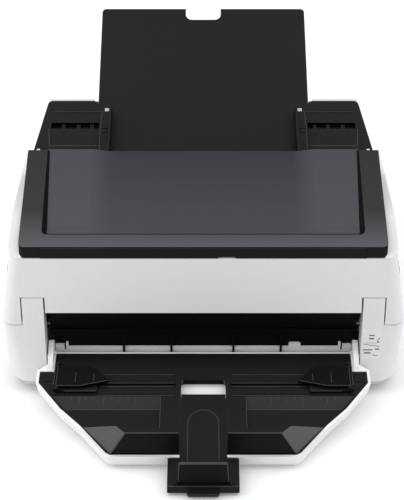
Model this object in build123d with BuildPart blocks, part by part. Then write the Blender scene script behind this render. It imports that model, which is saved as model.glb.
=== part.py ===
from build123d import *
import os
from math import atan, cos, degrees, radians, sin, tan

# A desktop sheet-fed document scanner for large sheets.
# Y runs from front to back, Z is up and X completes the right-handed frame.
# While a piece is drawn, y = 0 is the foot of the front face and z = 0 is the table.
# As it is written, each piece moves forward by FOOTPRINT_MID, so that the origin is on the table
# below the middle of the whole footprint, from the output extension to the input extension.

# ---------------------------------------------------------------- driving dimensions (mm)
HALF_WIDTH = 216.0          # at the seam between the casings
FOOT_H = 10.0
PLINTH_Z = 17.0
SEAM_Z = 84.0
PANEL_TOP_Z = 159.3         # where the white front panel meets the black cover
FLANK_Z = 181.0
BACK_Y = 305.0
LEAN = 14.0                 # front face, degrees back from the vertical
WALL = 3.0
SEAM_GAP = 1.0
RUN_FIT = 0.05              # radial clearance of a shaft in its bearing
SLIP = 0.4                  # clearance between pieces that slide past each other

HINGE_Y, HINGE_Z = 209.0, 164.0     # axis of the upper unit
HINGE_PIN_R = 4.0
SEAM_TURN_Y = 120.0                 # where the side seam starts to climb
SEAM_END_Z = 132.0
UPPER_BACK_Y = 228.0
RIDGE_Y = 160.5                     # rear edge of the black cover

COLUMN_IN, COLUMN_OUT = 169.8, 192.6    # the two front pillars
COLUMN_TOP_Z = 114.0
CHEEK_IN = 194.0
MOUTH_HALF = 168.0
MOUTH_TOP_Z = 97.5
MOUTH_SILL_Z = 22.0

STACKER_HINGE_Y, STACKER_HINGE_Z = 16.0, 41.0
STACKER_PIN_R = 4.0

# Openings in the rear wall: centre (x, z) and size.
INLET_SPOT, INLET_SIZE = (-150, 44), (28, 21)
SWITCH_SPOT, SWITCH_SIZE = (-118, 44), (14, 21)
PORT_SPOT, PORT_SIZE = (30, 32), (13, 12)

EXTENSION_TIP_V = 208.0     # far end of the input extension, up the hopper's slope
SKIN = 3.0                  # of the chute, over the pocket of the extension
EXTENSION_T = 5.0
STACKER_TIP_V = -172.0      # far end of the output extension, down the stacker's slope
STACKER_TIP_H = -3.5        # the height of the tab there, from the tray's surface


def slope_plane(y, z, degrees):
    """A plane that rises towards the back, with its own y axis running up the slope."""
    return Plane(origin=(0, y, z), x_dir=(1, 0, 0), z_dir=(0, -sin(radians(degrees)), cos(radians(degrees))))


HOPPER = slope_plane(242, 162, 29)
COVER = slope_plane(40.8, 170.9, 20)
PATH = slope_plane(40, 68, 21.4)        # the sheet's path between the two units
STACKER = slope_plane(20, 41.2, 10)


def on(plane, x, v, height):
    """The point at x, v up the plane's slope and a height above it."""
    return plane.from_local_coords((x, v, height))


def across(point):
    """A plane for a shaft: it faces along X and is centred on the point's y and z."""
    return Plane(origin=(0, point.Y, point.Z), x_dir=(0, 1, 0), z_dir=(1, 0, 0))


# The rearmost and the frontmost point of the whole machine.
REAR_TIP = on(HOPPER, 0, EXTENSION_TIP_V, -SKIN - SLIP / 2 - EXTENSION_T)
FRONT_TIP = on(STACKER, 0, STACKER_TIP_V, STACKER_TIP_H)
FOOTPRINT_MID = (REAR_TIP.Y + FRONT_TIP.Y) / 2


def front_y(z):
    """Where the leaning front face is at height z."""
    return (z - FOOT_H) * tan(radians(LEAN))


def hopper_z(y):
    """Height of the hopper's surface at y."""
    return 162 + (y - 242) * tan(radians(29))


os.makedirs("parts", exist_ok=True)


def write(piece, name):
    """Put a finished piece in the shared frame and write it."""
    piece.part.label = name
    placed = piece.part.moved(Location((0, -FOOTPRINT_MID, 0)))
    placed.label = name
    export_step(placed, f"parts/{name}.step")


# ---------------------------------------------------------------- lower casing, pan and feet
# Plan sections of the body: height, half width and corner radius.
BODY_SECTIONS = [(PLINTH_Z, 213.5, 26), (SEAM_Z, HALF_WIDTH, 14), (154, 204.5, 12), (FLANK_Z, 203.5, 12)]


def body_block(inset):
    """The outer form of the whole body, or the space inside it at the given inset."""
    with BuildPart() as block:
        for z, half_width, corner in BODY_SECTIONS:
            front = front_y(z) + inset
            back = BACK_Y - inset
            with BuildSketch(Plane.XY.offset(z)):
                with Locations((0, (front + back) / 2)):
                    Rectangle(2 * (half_width - inset), back - front)
                fillet(vertices(), corner - inset)
        loft(ruled=True)
    return block.part


def seam_profile(shift):
    """Points of the seam in side view, from front to back, moved up by shift."""
    return [(-40, SEAM_Z + shift), (SEAM_TURN_Y, SEAM_Z + shift), (UPPER_BACK_Y, SEAM_END_Z + shift)]


with BuildPart() as lower_casing:
    add(body_block(0))
    add(body_block(WALL), mode=Mode.SUBTRACT)
    with BuildSketch(Plane.YZ):
        with BuildLine():
            Polyline(*seam_profile(-SEAM_GAP), (UPPER_BACK_Y, SEAM_Z), (BACK_Y + 5, SEAM_Z),
                     (BACK_Y + 5, 0), (-40, 0), close=True)
        make_face()
    extrude(amount=HALF_WIDTH + 5, both=True, mode=Mode.INTERSECT)
    # A deck with a large opening, where the rear casing stands.
    with BuildSketch(Plane.XY.offset(SEAM_Z - WALL)):
        with Locations((0, (UPPER_BACK_Y + BACK_Y) / 2)):
            Rectangle(2 * (HALF_WIDTH - 4), BACK_Y - UPPER_BACK_Y - 4)
        with Locations((0, 266)):
            Rectangle(350, 58, mode=Mode.SUBTRACT)
    extrude(amount=WALL)
    # The wide mouth in the front, between the pillars.
    with BuildSketch(Plane.XZ):
        with Locations((0, (MOUTH_SILL_Z + 120) / 2)):
            Rectangle(2 * COLUMN_IN, 120 - MOUTH_SILL_Z)
    extrude(amount=-60, mode=Mode.SUBTRACT)
    # The two pillars stand up past the seam, inside notches in the upper casing.
    for side in (-1, 1):
        with BuildSketch(Plane.YZ.offset(side * (COLUMN_IN + COLUMN_OUT) / 2)):
            with BuildLine():
                Polyline((front_y(20), 20), (front_y(COLUMN_TOP_Z), COLUMN_TOP_Z),
                         (front_y(COLUMN_TOP_Z) + 17, COLUMN_TOP_Z), (front_y(20) + 20, 20), close=True)
            make_face()
        extrude(amount=(COLUMN_OUT - COLUMN_IN) / 2, both=True)
    # Blind holes in the pillars carry the stacker's pins.
    with BuildSketch(across(Vector(0, STACKER_HINGE_Y, STACKER_HINGE_Z))):
        Circle(STACKER_PIN_R + RUN_FIT)
    extrude(amount=COLUMN_IN + 6, both=True, mode=Mode.SUBTRACT)
    # Power inlet, switch, data port and air outlet in the rear wall.
    with BuildSketch(Plane.XZ.offset(-BACK_Y)):
        with Locations(INLET_SPOT):
            Rectangle(*INLET_SIZE)
        with Locations(SWITCH_SPOT):
            Rectangle(*SWITCH_SIZE)
        with Locations(PORT_SPOT):
            Rectangle(*PORT_SIZE)
        with Locations((125, 50)):
            with GridLocations(9, 0, 12, 1):
                SlotOverall(34, 4, rotation=90)
    extrude(amount=8, both=True, mode=Mode.SUBTRACT)

with BuildPart() as base_pan:
    with BuildSketch(Plane.XY.offset(FOOT_H)):
        with Locations((0, BACK_Y / 2 + 2)):
            RectangleRounded(2 * 210, BACK_Y - 5, 24)
    extrude(amount=PLINTH_Z - FOOT_H)
    with BuildSketch(Plane.XY.offset(FOOT_H + 2.5)):
        with Locations((0, BACK_Y / 2 + 2)):
            RectangleRounded(2 * 207, BACK_Y - 11, 21)
    extrude(amount=PLINTH_Z, mode=Mode.SUBTRACT)

FOOT_SPOTS = [(x, y, FOOT_H / 2) for x in (-180, 180) for y in (36, 272)]

with BuildPart() as rubber_feet:
    with Locations(*FOOT_SPOTS):
        Cone(11, 12.5, FOOT_H)

# ---------------------------------------------------------------- rear casing
REAR_START_Y = UPPER_BACK_Y + 2
CHUTE_THICK = 12.0
CHUTE_DROP = CHUTE_THICK / cos(radians(29))     # the chute's thickness, measured upright

with BuildPart() as rear_casing:
    with BuildSketch(Plane.YZ):
        with BuildLine():
            Polyline((REAR_START_Y, SEAM_Z), (BACK_Y, SEAM_Z), (BACK_Y, hopper_z(BACK_Y) - CHUTE_DROP - 1),
                     (REAR_START_Y, hopper_z(REAR_START_Y) - CHUTE_DROP - 1), close=True)
        make_face()
    extrude(amount=205, both=True)
    # In plan it narrows towards the back.
    with BuildSketch(Plane.XY):
        with BuildLine():
            Polyline((-204, REAR_START_Y), (204, REAR_START_Y), (184, BACK_Y), (-184, BACK_Y), close=True)
        make_face()
    extrude(amount=250, mode=Mode.INTERSECT)
    fillet(edges().filter_by(Axis.Z).group_by(Axis.Y)[-1], 8)
    offset(amount=-WALL, openings=faces().sort_by(Axis.Z)[0])
    with BuildSketch(Plane.XZ.offset(-BACK_Y)):
        with Locations((0, 128)):
            with GridLocations(12, 0, 20, 1):
                SlotOverall(46, 5, rotation=90)
    extrude(amount=8, both=True, mode=Mode.SUBTRACT)

# ---------------------------------------------------------------- places on the flanks
FLANK_TILT = degrees(atan((216 - 204.5) / (154 - SEAM_Z)))  # the flank leans in by this much above the seam
PANEL_MID_Z, PANEL_MID_Y = 121.0, 92.0
PANEL_SIZE = (66.0, 34.0)
PANEL_PROUD = 1.6
PANEL_GLUE = 0.05                   # the bezel sits this far off the flank
BUTTONS = {"scan": (22.0, 0.0, 6.5), "menu": (3.0, -9.0, 3.2)}  # along, up, radius
TRAVEL = 0.8


def flank_plane(side):
    """The plane of a drafted flank, with x towards the front and y up."""
    half = HALF_WIDTH - (PANEL_MID_Z - SEAM_Z) * tan(radians(FLANK_TILT))
    normal = (side * cos(radians(FLANK_TILT)), 0, sin(radians(FLANK_TILT)))
    flank = Plane(origin=(side * half, PANEL_MID_Y, PANEL_MID_Z), x_dir=(0, -1, 0), z_dir=normal)
    return flank.offset(PANEL_GLUE)


def panel_y(side, up):
    """The panel's up direction in its own plane, which is mirrored between the two flanks."""
    return up if side < 0 else -up


# ---------------------------------------------------------------- upper casing
ARM_IN = 189.5
WEB = 3.0
ARM_END_Y = UPPER_BACK_Y - 2


def upper_profile(inset):
    """Side view of the upper casing: seam, arm end, flat shoulder and the facet down to the front."""
    return [(-40, SEAM_Z + inset), (SEAM_TURN_Y, SEAM_Z + inset), (ARM_END_Y - inset, SEAM_END_Z + inset),
            (ARM_END_Y - inset, FLANK_Z - 9), (HINGE_Y + 1, FLANK_Z - inset), (83, FLANK_Z - inset),
            (37.2, PANEL_TOP_Z - 1.1 * inset), (-40, PANEL_TOP_Z - 37 - 1.1 * inset)]


with BuildPart() as upper_hollow:
    add(body_block(WALL))
    with BuildSketch(Plane.YZ):
        with BuildLine():
            Polyline(*upper_profile(WALL), close=True)
        make_face()
    extrude(amount=HALF_WIDTH, both=True, mode=Mode.INTERSECT)

with BuildPart() as upper_casing:
    add(body_block(0))
    with BuildSketch(Plane.YZ):
        with BuildLine():
            Polyline(*upper_profile(0), close=True)
        make_face()
    extrude(amount=HALF_WIDTH + 5, both=True, mode=Mode.INTERSECT)
    add(upper_hollow.part, mode=Mode.SUBTRACT)
    # The underside is open behind the front panel, over the whole length of the unit.
    with BuildSketch(Plane.XY.offset(SEAM_Z - 5)):
        with Locations((0, 151)):
            Rectangle(2 * (HALF_WIDTH - 16), 228)
    extrude(amount=62, mode=Mode.SUBTRACT)
    # The top is open under the black cover and, behind it, between the arms.
    with BuildSketch(Plane.XY.offset(PANEL_TOP_Z - 20)):
        with Locations((0, 175)):
            Rectangle(2 * ARM_IN, 262)
    extrude(amount=60, mode=Mode.SUBTRACT)
    with BuildSketch(Plane.XY.offset(PANEL_TOP_Z - 0.8)):
        with Locations((0, 48)):
            Rectangle(2 * ARM_IN, 30)
    extrude(amount=30, mode=Mode.SUBTRACT)
    # Inner webs close the arms and carry the hinge.
    for side in (-1, 1):
        with BuildSketch(Plane.YZ.offset(side * (ARM_IN + WEB / 2))):
            with BuildLine():
                Polyline((60, SEAM_Z + 4), (SEAM_TURN_Y, SEAM_Z + 4), (ARM_END_Y, SEAM_END_Z + 4),
                         (ARM_END_Y, FLANK_Z - 9), (HINGE_Y + 8, FLANK_Z), (83, FLANK_Z), (60, FLANK_Z - 15),
                         close=True)
            make_face()
        extrude(amount=WEB / 2, both=True)
        with Locations((side * (ARM_IN + 7), ARM_END_Y - 1.5, (SEAM_END_Z + FLANK_Z) / 2)):
            Box(14, 3, FLANK_Z - SEAM_END_Z - 20)
    # Notches for the pillars, and the mouth between them.
    with BuildSketch(Plane.XZ):
        with Locations((0, (COLUMN_TOP_Z + SEAM_GAP + 60) / 2)):
            Rectangle(2 * CHEEK_IN, COLUMN_TOP_Z + SEAM_GAP - 60)
    extrude(amount=-56, mode=Mode.SUBTRACT)
    with BuildSketch(Plane.YZ):
        with BuildLine():
            Polyline((front_y(MOUTH_TOP_Z), MOUTH_TOP_Z), (front_y(125), 125), (front_y(125) + WALL, 125),
                     (front_y(MOUTH_TOP_Z) + WALL, MOUTH_TOP_Z), close=True)
        make_face()
    extrude(amount=MOUTH_HALF, both=True)
    with BuildSketch(across(Vector(0, HINGE_Y, HINGE_Z))):
        Circle(HINGE_PIN_R + RUN_FIT)
    extrude(amount=ARM_IN + WEB + 1, both=True, mode=Mode.SUBTRACT)
    # Holes for the push buttons in both flanks.
    for side in (-1, 1):
        for along, up, radius in BUTTONS.values():
            with BuildSketch(flank_plane(side).offset(1)):
                with Locations((along, panel_y(side, up))):
                    Circle(radius + 0.4)
            extrude(amount=-6, mode=Mode.SUBTRACT)

# ---------------------------------------------------------------- black top cover and its handle
COVER_HALF = 192.5
HANDLE_HALF = 170.0
RECESS_HALF = 171.5
RECESS_DEEP = 6.0
PAD_EDGE, CHANNEL_EDGE = 121.0, 100.0
PAD_START_V, PAD_RISE = 28.0, 3.5
RIDGE_V = (RIDGE_Y - 40.8) / cos(radians(20))
RIDGE_Z = on(COVER, 0, RIDGE_V, 0).Z

with BuildPart() as top_cover:
    with BuildSketch(Plane.YZ):
        with BuildLine():
            Polyline((37.4, PANEL_TOP_Z + 0.3), (40.8, 170.9), (RIDGE_Y, RIDGE_Z), (RIDGE_Y + 5, 210),
                     (RIDGE_Y + 5, FLANK_Z + 0.2), (83, FLANK_Z + 0.2), close=True)
        make_face()
    extrude(amount=COVER_HALF, both=True)
    front_corners = edges().filter_by(lambda e: e.center().Y < 40 and abs(e.center().X) > COVER_HALF - 1)
    fillet(front_corners, 6)
    # Between the flanks it reaches a little deeper.
    with BuildSketch(Plane.YZ):
        with BuildLine():
            Polyline((52, 165), (52, 173), (100, 190), (100, 181), (60, 165.5), close=True)
        make_face()
    extrude(amount=ARM_IN - 1, both=True)
    # The long shallow recess in the top, open at the ridge.
    with BuildSketch(COVER) as recess_outline:
        with BuildLine():
            Polyline((-RECESS_HALF, 160), (-RECESS_HALF + 2, 15.5), (RECESS_HALF - 2, 15.5),
                     (RECESS_HALF, 160), close=True)
        make_face()
        fillet(vertices().group_by(Axis.Y)[0], 6)
    extrude(amount=-RECESS_DEEP, taper=40, mode=Mode.SUBTRACT)
    extrude(recess_outline.sketch, amount=1, mode=Mode.SUBTRACT)
    # Two pads in it, which rise towards the ridge and slope down to a wide channel between them.
    for side in (-1, 1):
        for v, rise in ((PAD_START_V, 0.1), (RIDGE_V + 3, PAD_RISE)):
            floor_point = on(COVER, 0, v, -RECESS_DEEP)
            with BuildSketch(Plane(origin=floor_point, x_dir=(-1, 0, 0), z_dir=COVER.y_dir)):
                with BuildLine():
                    Polyline((side * RECESS_HALF, -0.5), (side * RECESS_HALF, rise), (side * PAD_EDGE, rise),
                             (side * CHANNEL_EDGE, -0.5), close=True)
                make_face()
        loft(ruled=True)
    # The hollow underneath.
    with BuildSketch(Plane.YZ):
        with BuildLine():
            Polyline((56, 160), (56, 167), (RIDGE_Y - 2, 204.3), (RIDGE_Y + 1, 202), (RIDGE_Y + 1, 160),
                     close=True)
        make_face()
    extrude(amount=COVER_HALF - WALL, both=True, mode=Mode.SUBTRACT)
    for side in (-1, 1):
        # Room for the handle's latch arms.
        with Locations((side * 150, 50, 157)):
            Box(9, 14, 25, mode=Mode.SUBTRACT)
    # A pocket in the front band for the release handle.
    with BuildSketch(Plane.YZ):
        with BuildLine():
            Polyline((30, 150), (30, 170.0), (45.6, 170.0), (49.6, 150), close=True)
        make_face()
    extrude(amount=HANDLE_HALF + SLIP, both=True, mode=Mode.SUBTRACT)

HANDLE_Y, HANDLE_Z = 44.0, 167.5        # the handle tips about a pin along its top

with BuildPart() as release_handle:
    with BuildSketch(Plane.YZ):
        with BuildLine():
            Polyline((36.9, PANEL_TOP_Z - 0.4), (39.9, 169.2), (44.6, 169.2), (46.6, 160.5),
                     (40.5, PANEL_TOP_Z - 0.4), close=True)
        make_face()
    extrude(amount=HANDLE_HALF, both=True)
    # A curved finger pull at the middle of its lower edge.
    with BuildSketch(Plane(origin=(24.5, 30, PANEL_TOP_Z - 6), x_dir=(1, 0, 0), z_dir=(0, -1, 0))):
        Ellipse(13, 9)
    extrude(amount=-9.5, mode=Mode.SUBTRACT)
    # Two arms behind it reach down to the latch.
    for side in (-1, 1):
        with BuildSketch(Plane.YZ.offset(side * 150)):
            with BuildLine():
                Polyline((43.5, 168), (52, 168), (50, 130), (41, 124), (41, 128), (46, 132), (46, 161),
                         close=True)
            make_face()
        extrude(amount=3, both=True)

# ---------------------------------------------------------------- rollers on the path
PICK_R, FEED_R, EJECT_R = 14.0, 11.0, 11.0
BRAKE_R, PINCH_R = 12.0, 7.0
SHAFT_R = 4.0
PROUD = 0.6                             # how far a drive roller stands above the path
NIP = 0.5                               # gap between a roller and the one that presses on it
PICK_V, FEED_V, EJECT_V = 116.0, 70.0, 6.0

PICK_C = on(PATH, 0, PICK_V, PROUD - PICK_R)
FEED_C = on(PATH, 0, FEED_V, PROUD - FEED_R)
EJECT_C = on(PATH, 0, EJECT_V, PROUD - EJECT_R)
BRAKE_C = on(PATH, 0, PICK_V, PROUD + NIP + BRAKE_R)
FEED_PINCH_C = on(PATH, 0, FEED_V, PROUD + NIP + PINCH_R)
EJECT_PINCH_C = on(PATH, 0, EJECT_V, PROUD + NIP + PINCH_R)
MOTOR_C = Vector(0, 142, 44)

FRAME_IN, FRAME_OUT = 183.0, 186.0      # the steel side frames
PULLEY_R = 10.0
PULLEY_X, PULLEY_W = 171.0, 8.0
PICK_XS = (-22, 22)
FEED_XS = (-120, -45, 45, 120)
PICK_W, FEED_W = 26.0, 22.0
PINCH_END, PINCH_SHAFT_R = 140.0, 2.5
MOTOR_SHAFT_R = 3.0
BRAKE_SHAFT_R = 3.0


def shaft(center, x_from, x_to, radius):
    """A round bar along X."""
    with BuildPart() as bar:
        with BuildSketch(Plane(origin=(x_from, center.Y, center.Z), x_dir=(0, 1, 0), z_dir=(1, 0, 0))):
            Circle(radius)
        extrude(amount=x_to - x_from)
        chamfer(edges().filter_by(GeomType.CIRCLE), 0.5)
    return bar


def tyres(center, xs, width, radius, bore):
    """Rubber rollers along X, with fine grooves along their treads."""
    with BuildPart() as rolls:
        for x in xs:
            with BuildSketch(Plane(origin=(x, center.Y, center.Z), x_dir=(0, 1, 0), z_dir=(1, 0, 0))):
                Circle(radius)
                with PolarLocations(radius + 0.2, 30):
                    Circle(0.5, mode=Mode.SUBTRACT)
                Circle(bore, mode=Mode.SUBTRACT)
            extrude(amount=width / 2, both=True)
    return rolls


def pinch_roller(center):
    """Smooth plastic rollers moulded on one thin shaft."""
    with BuildPart() as roller:
        with BuildSketch(Plane(origin=(-PINCH_END, center.Y, center.Z), x_dir=(0, 1, 0), z_dir=(1, 0, 0))):
            Circle(PINCH_SHAFT_R)
        extrude(amount=2 * PINCH_END)
        for x in FEED_XS:
            with BuildSketch(Plane(origin=(x, center.Y, center.Z), x_dir=(0, 1, 0), z_dir=(1, 0, 0))):
                Circle(PINCH_R)
            extrude(amount=FEED_W / 2, both=True)
    return roller


def pulley(center, bore):
    """A toothed pulley for the timing belt, bored for its shaft, or solid with a stub shaft of its own."""
    with BuildPart() as wheel:
        with BuildSketch(Plane(origin=(PULLEY_X, center.Y, center.Z), x_dir=(0, 1, 0), z_dir=(1, 0, 0))):
            Circle(PULLEY_R)
            with PolarLocations(PULLEY_R, 24):
                Circle(0.7, mode=Mode.SUBTRACT)
            if bore:
                Circle(bore, mode=Mode.SUBTRACT)
        extrude(amount=PULLEY_W)
        if not bore:
            with BuildSketch(Plane(origin=(158, center.Y, center.Z), x_dir=(0, 1, 0), z_dir=(1, 0, 0))):
                Circle(MOTOR_SHAFT_R)
            extrude(amount=PULLEY_X - 158 + 1)
    return wheel


pick_shaft = shaft(PICK_C, -FRAME_OUT - 1, FRAME_OUT + 1, SHAFT_R)
feed_shaft = shaft(FEED_C, -FRAME_OUT - 1, FRAME_OUT + 1, SHAFT_R)
eject_shaft = shaft(EJECT_C, -FRAME_OUT - 1, FRAME_OUT + 1, SHAFT_R)
brake_shaft = shaft(BRAKE_C, -42, 42, BRAKE_SHAFT_R)
pick_tyres = tyres(PICK_C, PICK_XS, PICK_W, PICK_R, SHAFT_R)
feed_tyres = tyres(FEED_C, FEED_XS, FEED_W, FEED_R, SHAFT_R)
eject_tyres = tyres(EJECT_C, FEED_XS, FEED_W, EJECT_R, SHAFT_R)
brake_tyres = tyres(BRAKE_C, PICK_XS, PICK_W, BRAKE_R, BRAKE_SHAFT_R)
feed_pinch_roller = pinch_roller(FEED_PINCH_C)
eject_pinch_roller = pinch_roller(EJECT_PINCH_C)
pick_pulley = pulley(PICK_C, SHAFT_R)
feed_pulley = pulley(FEED_C, SHAFT_R)
eject_pulley = pulley(EJECT_C, SHAFT_R)
motor_pulley = pulley(MOTOR_C, 0)

BELT_SPOTS = [(c.Y, c.Z) for c in (PICK_C, FEED_C, EJECT_C, MOTOR_C)]
BELT_IN = PULLEY_R + 0.3
BELT_T = 1.5

with BuildPart() as drive_belt:
    with BuildSketch(Plane.YZ.offset(PULLEY_X + 0.5)):
        with Locations(*BELT_SPOTS):
            Circle(BELT_IN + BELT_T)
        make_hull()
    extrude(amount=PULLEY_W - 1)
    with BuildSketch(Plane.YZ.offset(PULLEY_X + 0.5)):
        with Locations(*BELT_SPOTS):
            Circle(BELT_IN)
        make_hull()
    extrude(amount=PULLEY_W - 1, mode=Mode.SUBTRACT)

with BuildPart() as drive_motor:
    with BuildSketch(Plane(origin=(112, MOTOR_C.Y, MOTOR_C.Z), x_dir=(0, 1, 0), z_dir=(1, 0, 0))):
        Circle(19)
    extrude(amount=48)
    with BuildSketch(Plane(origin=(160, MOTOR_C.Y, MOTOR_C.Z), x_dir=(0, 1, 0), z_dir=(1, 0, 0))):
        RectangleRounded(46, 40, 4)
    extrude(amount=3)
    with BuildSketch(Plane(origin=(157, MOTOR_C.Y, MOTOR_C.Z), x_dir=(0, 1, 0), z_dir=(1, 0, 0))):
        Circle(MOTOR_SHAFT_R + RUN_FIT)
    extrude(amount=8, mode=Mode.SUBTRACT)


def side_frame(side):
    """A steel plate that carries the shafts and, at its tall end, the hinge pin of the upper unit."""
    with BuildPart() as plate:
        with BuildSketch(Plane.YZ.offset(side * FRAME_IN)):
            with BuildLine():
                Polyline((56, FOOT_H + 3), (56, 40), (41, 46), (41, 74), (150, 118), (185, 140), (198, 174),
                         (218, 174), (224, 150), (224, FOOT_H + 3), close=True)
            make_face()
            for center in (PICK_C, FEED_C, EJECT_C):
                with Locations((center.Y, center.Z)):
                    Circle(SHAFT_R + RUN_FIT, mode=Mode.SUBTRACT)
            with Locations((200, 70)):
                RectangleRounded(24, 60, 5, mode=Mode.SUBTRACT)
        extrude(amount=side * (FRAME_OUT - FRAME_IN))
    return plate


side_frame_left = side_frame(-1)
side_frame_right = side_frame(1)

with BuildPart() as hinge_pins:
    for side in (-1, 1):
        pin_foot = Plane(origin=(side * FRAME_OUT, HINGE_Y, HINGE_Z), x_dir=(0, 1, 0), z_dir=(side, 0, 0))
        with BuildSketch(pin_foot):
            Circle(HINGE_PIN_R)
        extrude(amount=ARM_IN + WEB + 3 - FRAME_OUT)
        with BuildSketch(pin_foot):
            Circle(HINGE_PIN_R + 3)
        extrude(amount=2)

# ---------------------------------------------------------------- lower sheet guide and scan unit
GUIDE_HALF = 166.0
GUIDE_T = 3.0
GUIDE_TOP_V = 117.0
GLASS_V, GLASS_D = 38.0, 18.0       # the scan window, centred GLASS_V up the path
GLASS_HALF = 157.0
RIB_XS = (-87, -35, 33, 85)

with BuildPart() as lower_guide:
    # The sloping plate that the sheet runs over.
    with BuildSketch(PATH):
        with Locations((0, (GUIDE_TOP_V - 8) / 2)):
            Rectangle(2 * GUIDE_HALF, GUIDE_TOP_V + 8)
    extrude(amount=-GUIDE_T)
    # Its front skirt, down to the white exit strip.
    skirt_top = on(PATH, 0, -8, 0)
    with BuildSketch(Plane.YZ):
        with BuildLine():
            Polyline((skirt_top.Y, skirt_top.Z), (31.1, 36), (34, 36),
                     (skirt_top.Y + GUIDE_T, skirt_top.Z - 1), close=True)
        make_face()
    extrude(amount=GUIDE_HALF, both=True)
    # Upright ribs that lead the sheet out over the strip.
    for x in RIB_XS:
        with BuildSketch(Plane.YZ.offset(x)):
            with BuildLine():
                Polyline((31.8, 58), (24.2, 33.5), (27.9, 33.5), (27.9, 43.2), (31.2, 43.2), (33.5, 58),
                         close=True)
            make_face()
        extrude(amount=1.2, both=True)
    # Side cheeks that stand up beside the path.
    for side in (-1, 1):
        with BuildSketch(PATH):
            with Locations((side * (GUIDE_HALF - 1.5), 40)):
                Rectangle(3, 92)
        extrude(amount=-14)
    # Clearance for the drive shafts.
    for center in (FEED_C, EJECT_C):
        with BuildSketch(across(center)):
            Circle(SHAFT_R + 1)
        extrude(amount=GUIDE_HALF + 2, both=True, mode=Mode.SUBTRACT)
    # The stacker's arms swing past its lower corners.
    for side in (-1, 1):
        with Locations((side * 166, 32, 44)):
            Box(9, 14, 26, mode=Mode.SUBTRACT)
    # Windows for the rollers and the glass.
    with BuildSketch(PATH):
        with Locations(*[(x, v) for x in FEED_XS for v in (FEED_V, EJECT_V)]):
            Rectangle(FEED_W + 4, 22)
        with Locations(*[(x, GUIDE_TOP_V - 5) for x in PICK_XS]):
            Rectangle(PICK_W + 4, 30)
        with Locations((0, GLASS_V)):
            Rectangle(2 * (GLASS_HALF + SLIP), GLASS_D + 2 * SLIP)
    extrude(amount=8, both=True, mode=Mode.SUBTRACT)

with BuildPart() as exit_strip:
    with BuildSketch(Plane.XZ.offset(-31)):
        with Locations((0, 38)):
            Rectangle(2 * 150, 10)
        with Locations((100, 42)):
            RectangleRounded(13, 13, 2)
        for side in (-1, 1):
            with Locations((side * 149, 41.5)):
                Rectangle(2.5, 16)
            with Locations((side * 157, 41)):
                Rectangle(9.5, 11)
        with Locations((0, 36)):
            Rectangle(2 * 161.5, 4)
    extrude(amount=3)

SENSOR_HALF, SENSOR_D = 160.0, 34.0


def scan_unit(low, high):
    """A contact image sensor: a long closed housing, between two heights off the path."""
    with BuildPart() as unit:
        with BuildSketch(Plane(origin=on(PATH, 0, GLASS_V, low), x_dir=(1, 0, 0), z_dir=PATH.z_dir)):
            RectangleRounded(2 * SENSOR_HALF, SENSOR_D, 3)
        extrude(amount=high - low)
        chamfer(edges().filter_by(Axis.X), 2)
    return unit


def scan_glass(low):
    """The strip of glass that the sheet slides past."""
    with BuildPart() as strip:
        with BuildSketch(Plane(origin=on(PATH, 0, GLASS_V, low), x_dir=(1, 0, 0), z_dir=PATH.z_dir)):
            Rectangle(2 * GLASS_HALF, GLASS_D)
        extrude(amount=2.5)
    return strip


lower_scan_unit = scan_unit(-GUIDE_T - 30, -GUIDE_T)
lower_glass = scan_glass(-2.8)

# ---------------------------------------------------------------- upper sheet guide and scan unit
UPPER_GAP = 1.6                     # from the path to the upper guide
THROAT_HALF = 187.0
THROAT_Y = 156.2
BRAKE_EAR_X, PINCH_EAR_X = 40, 138

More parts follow.
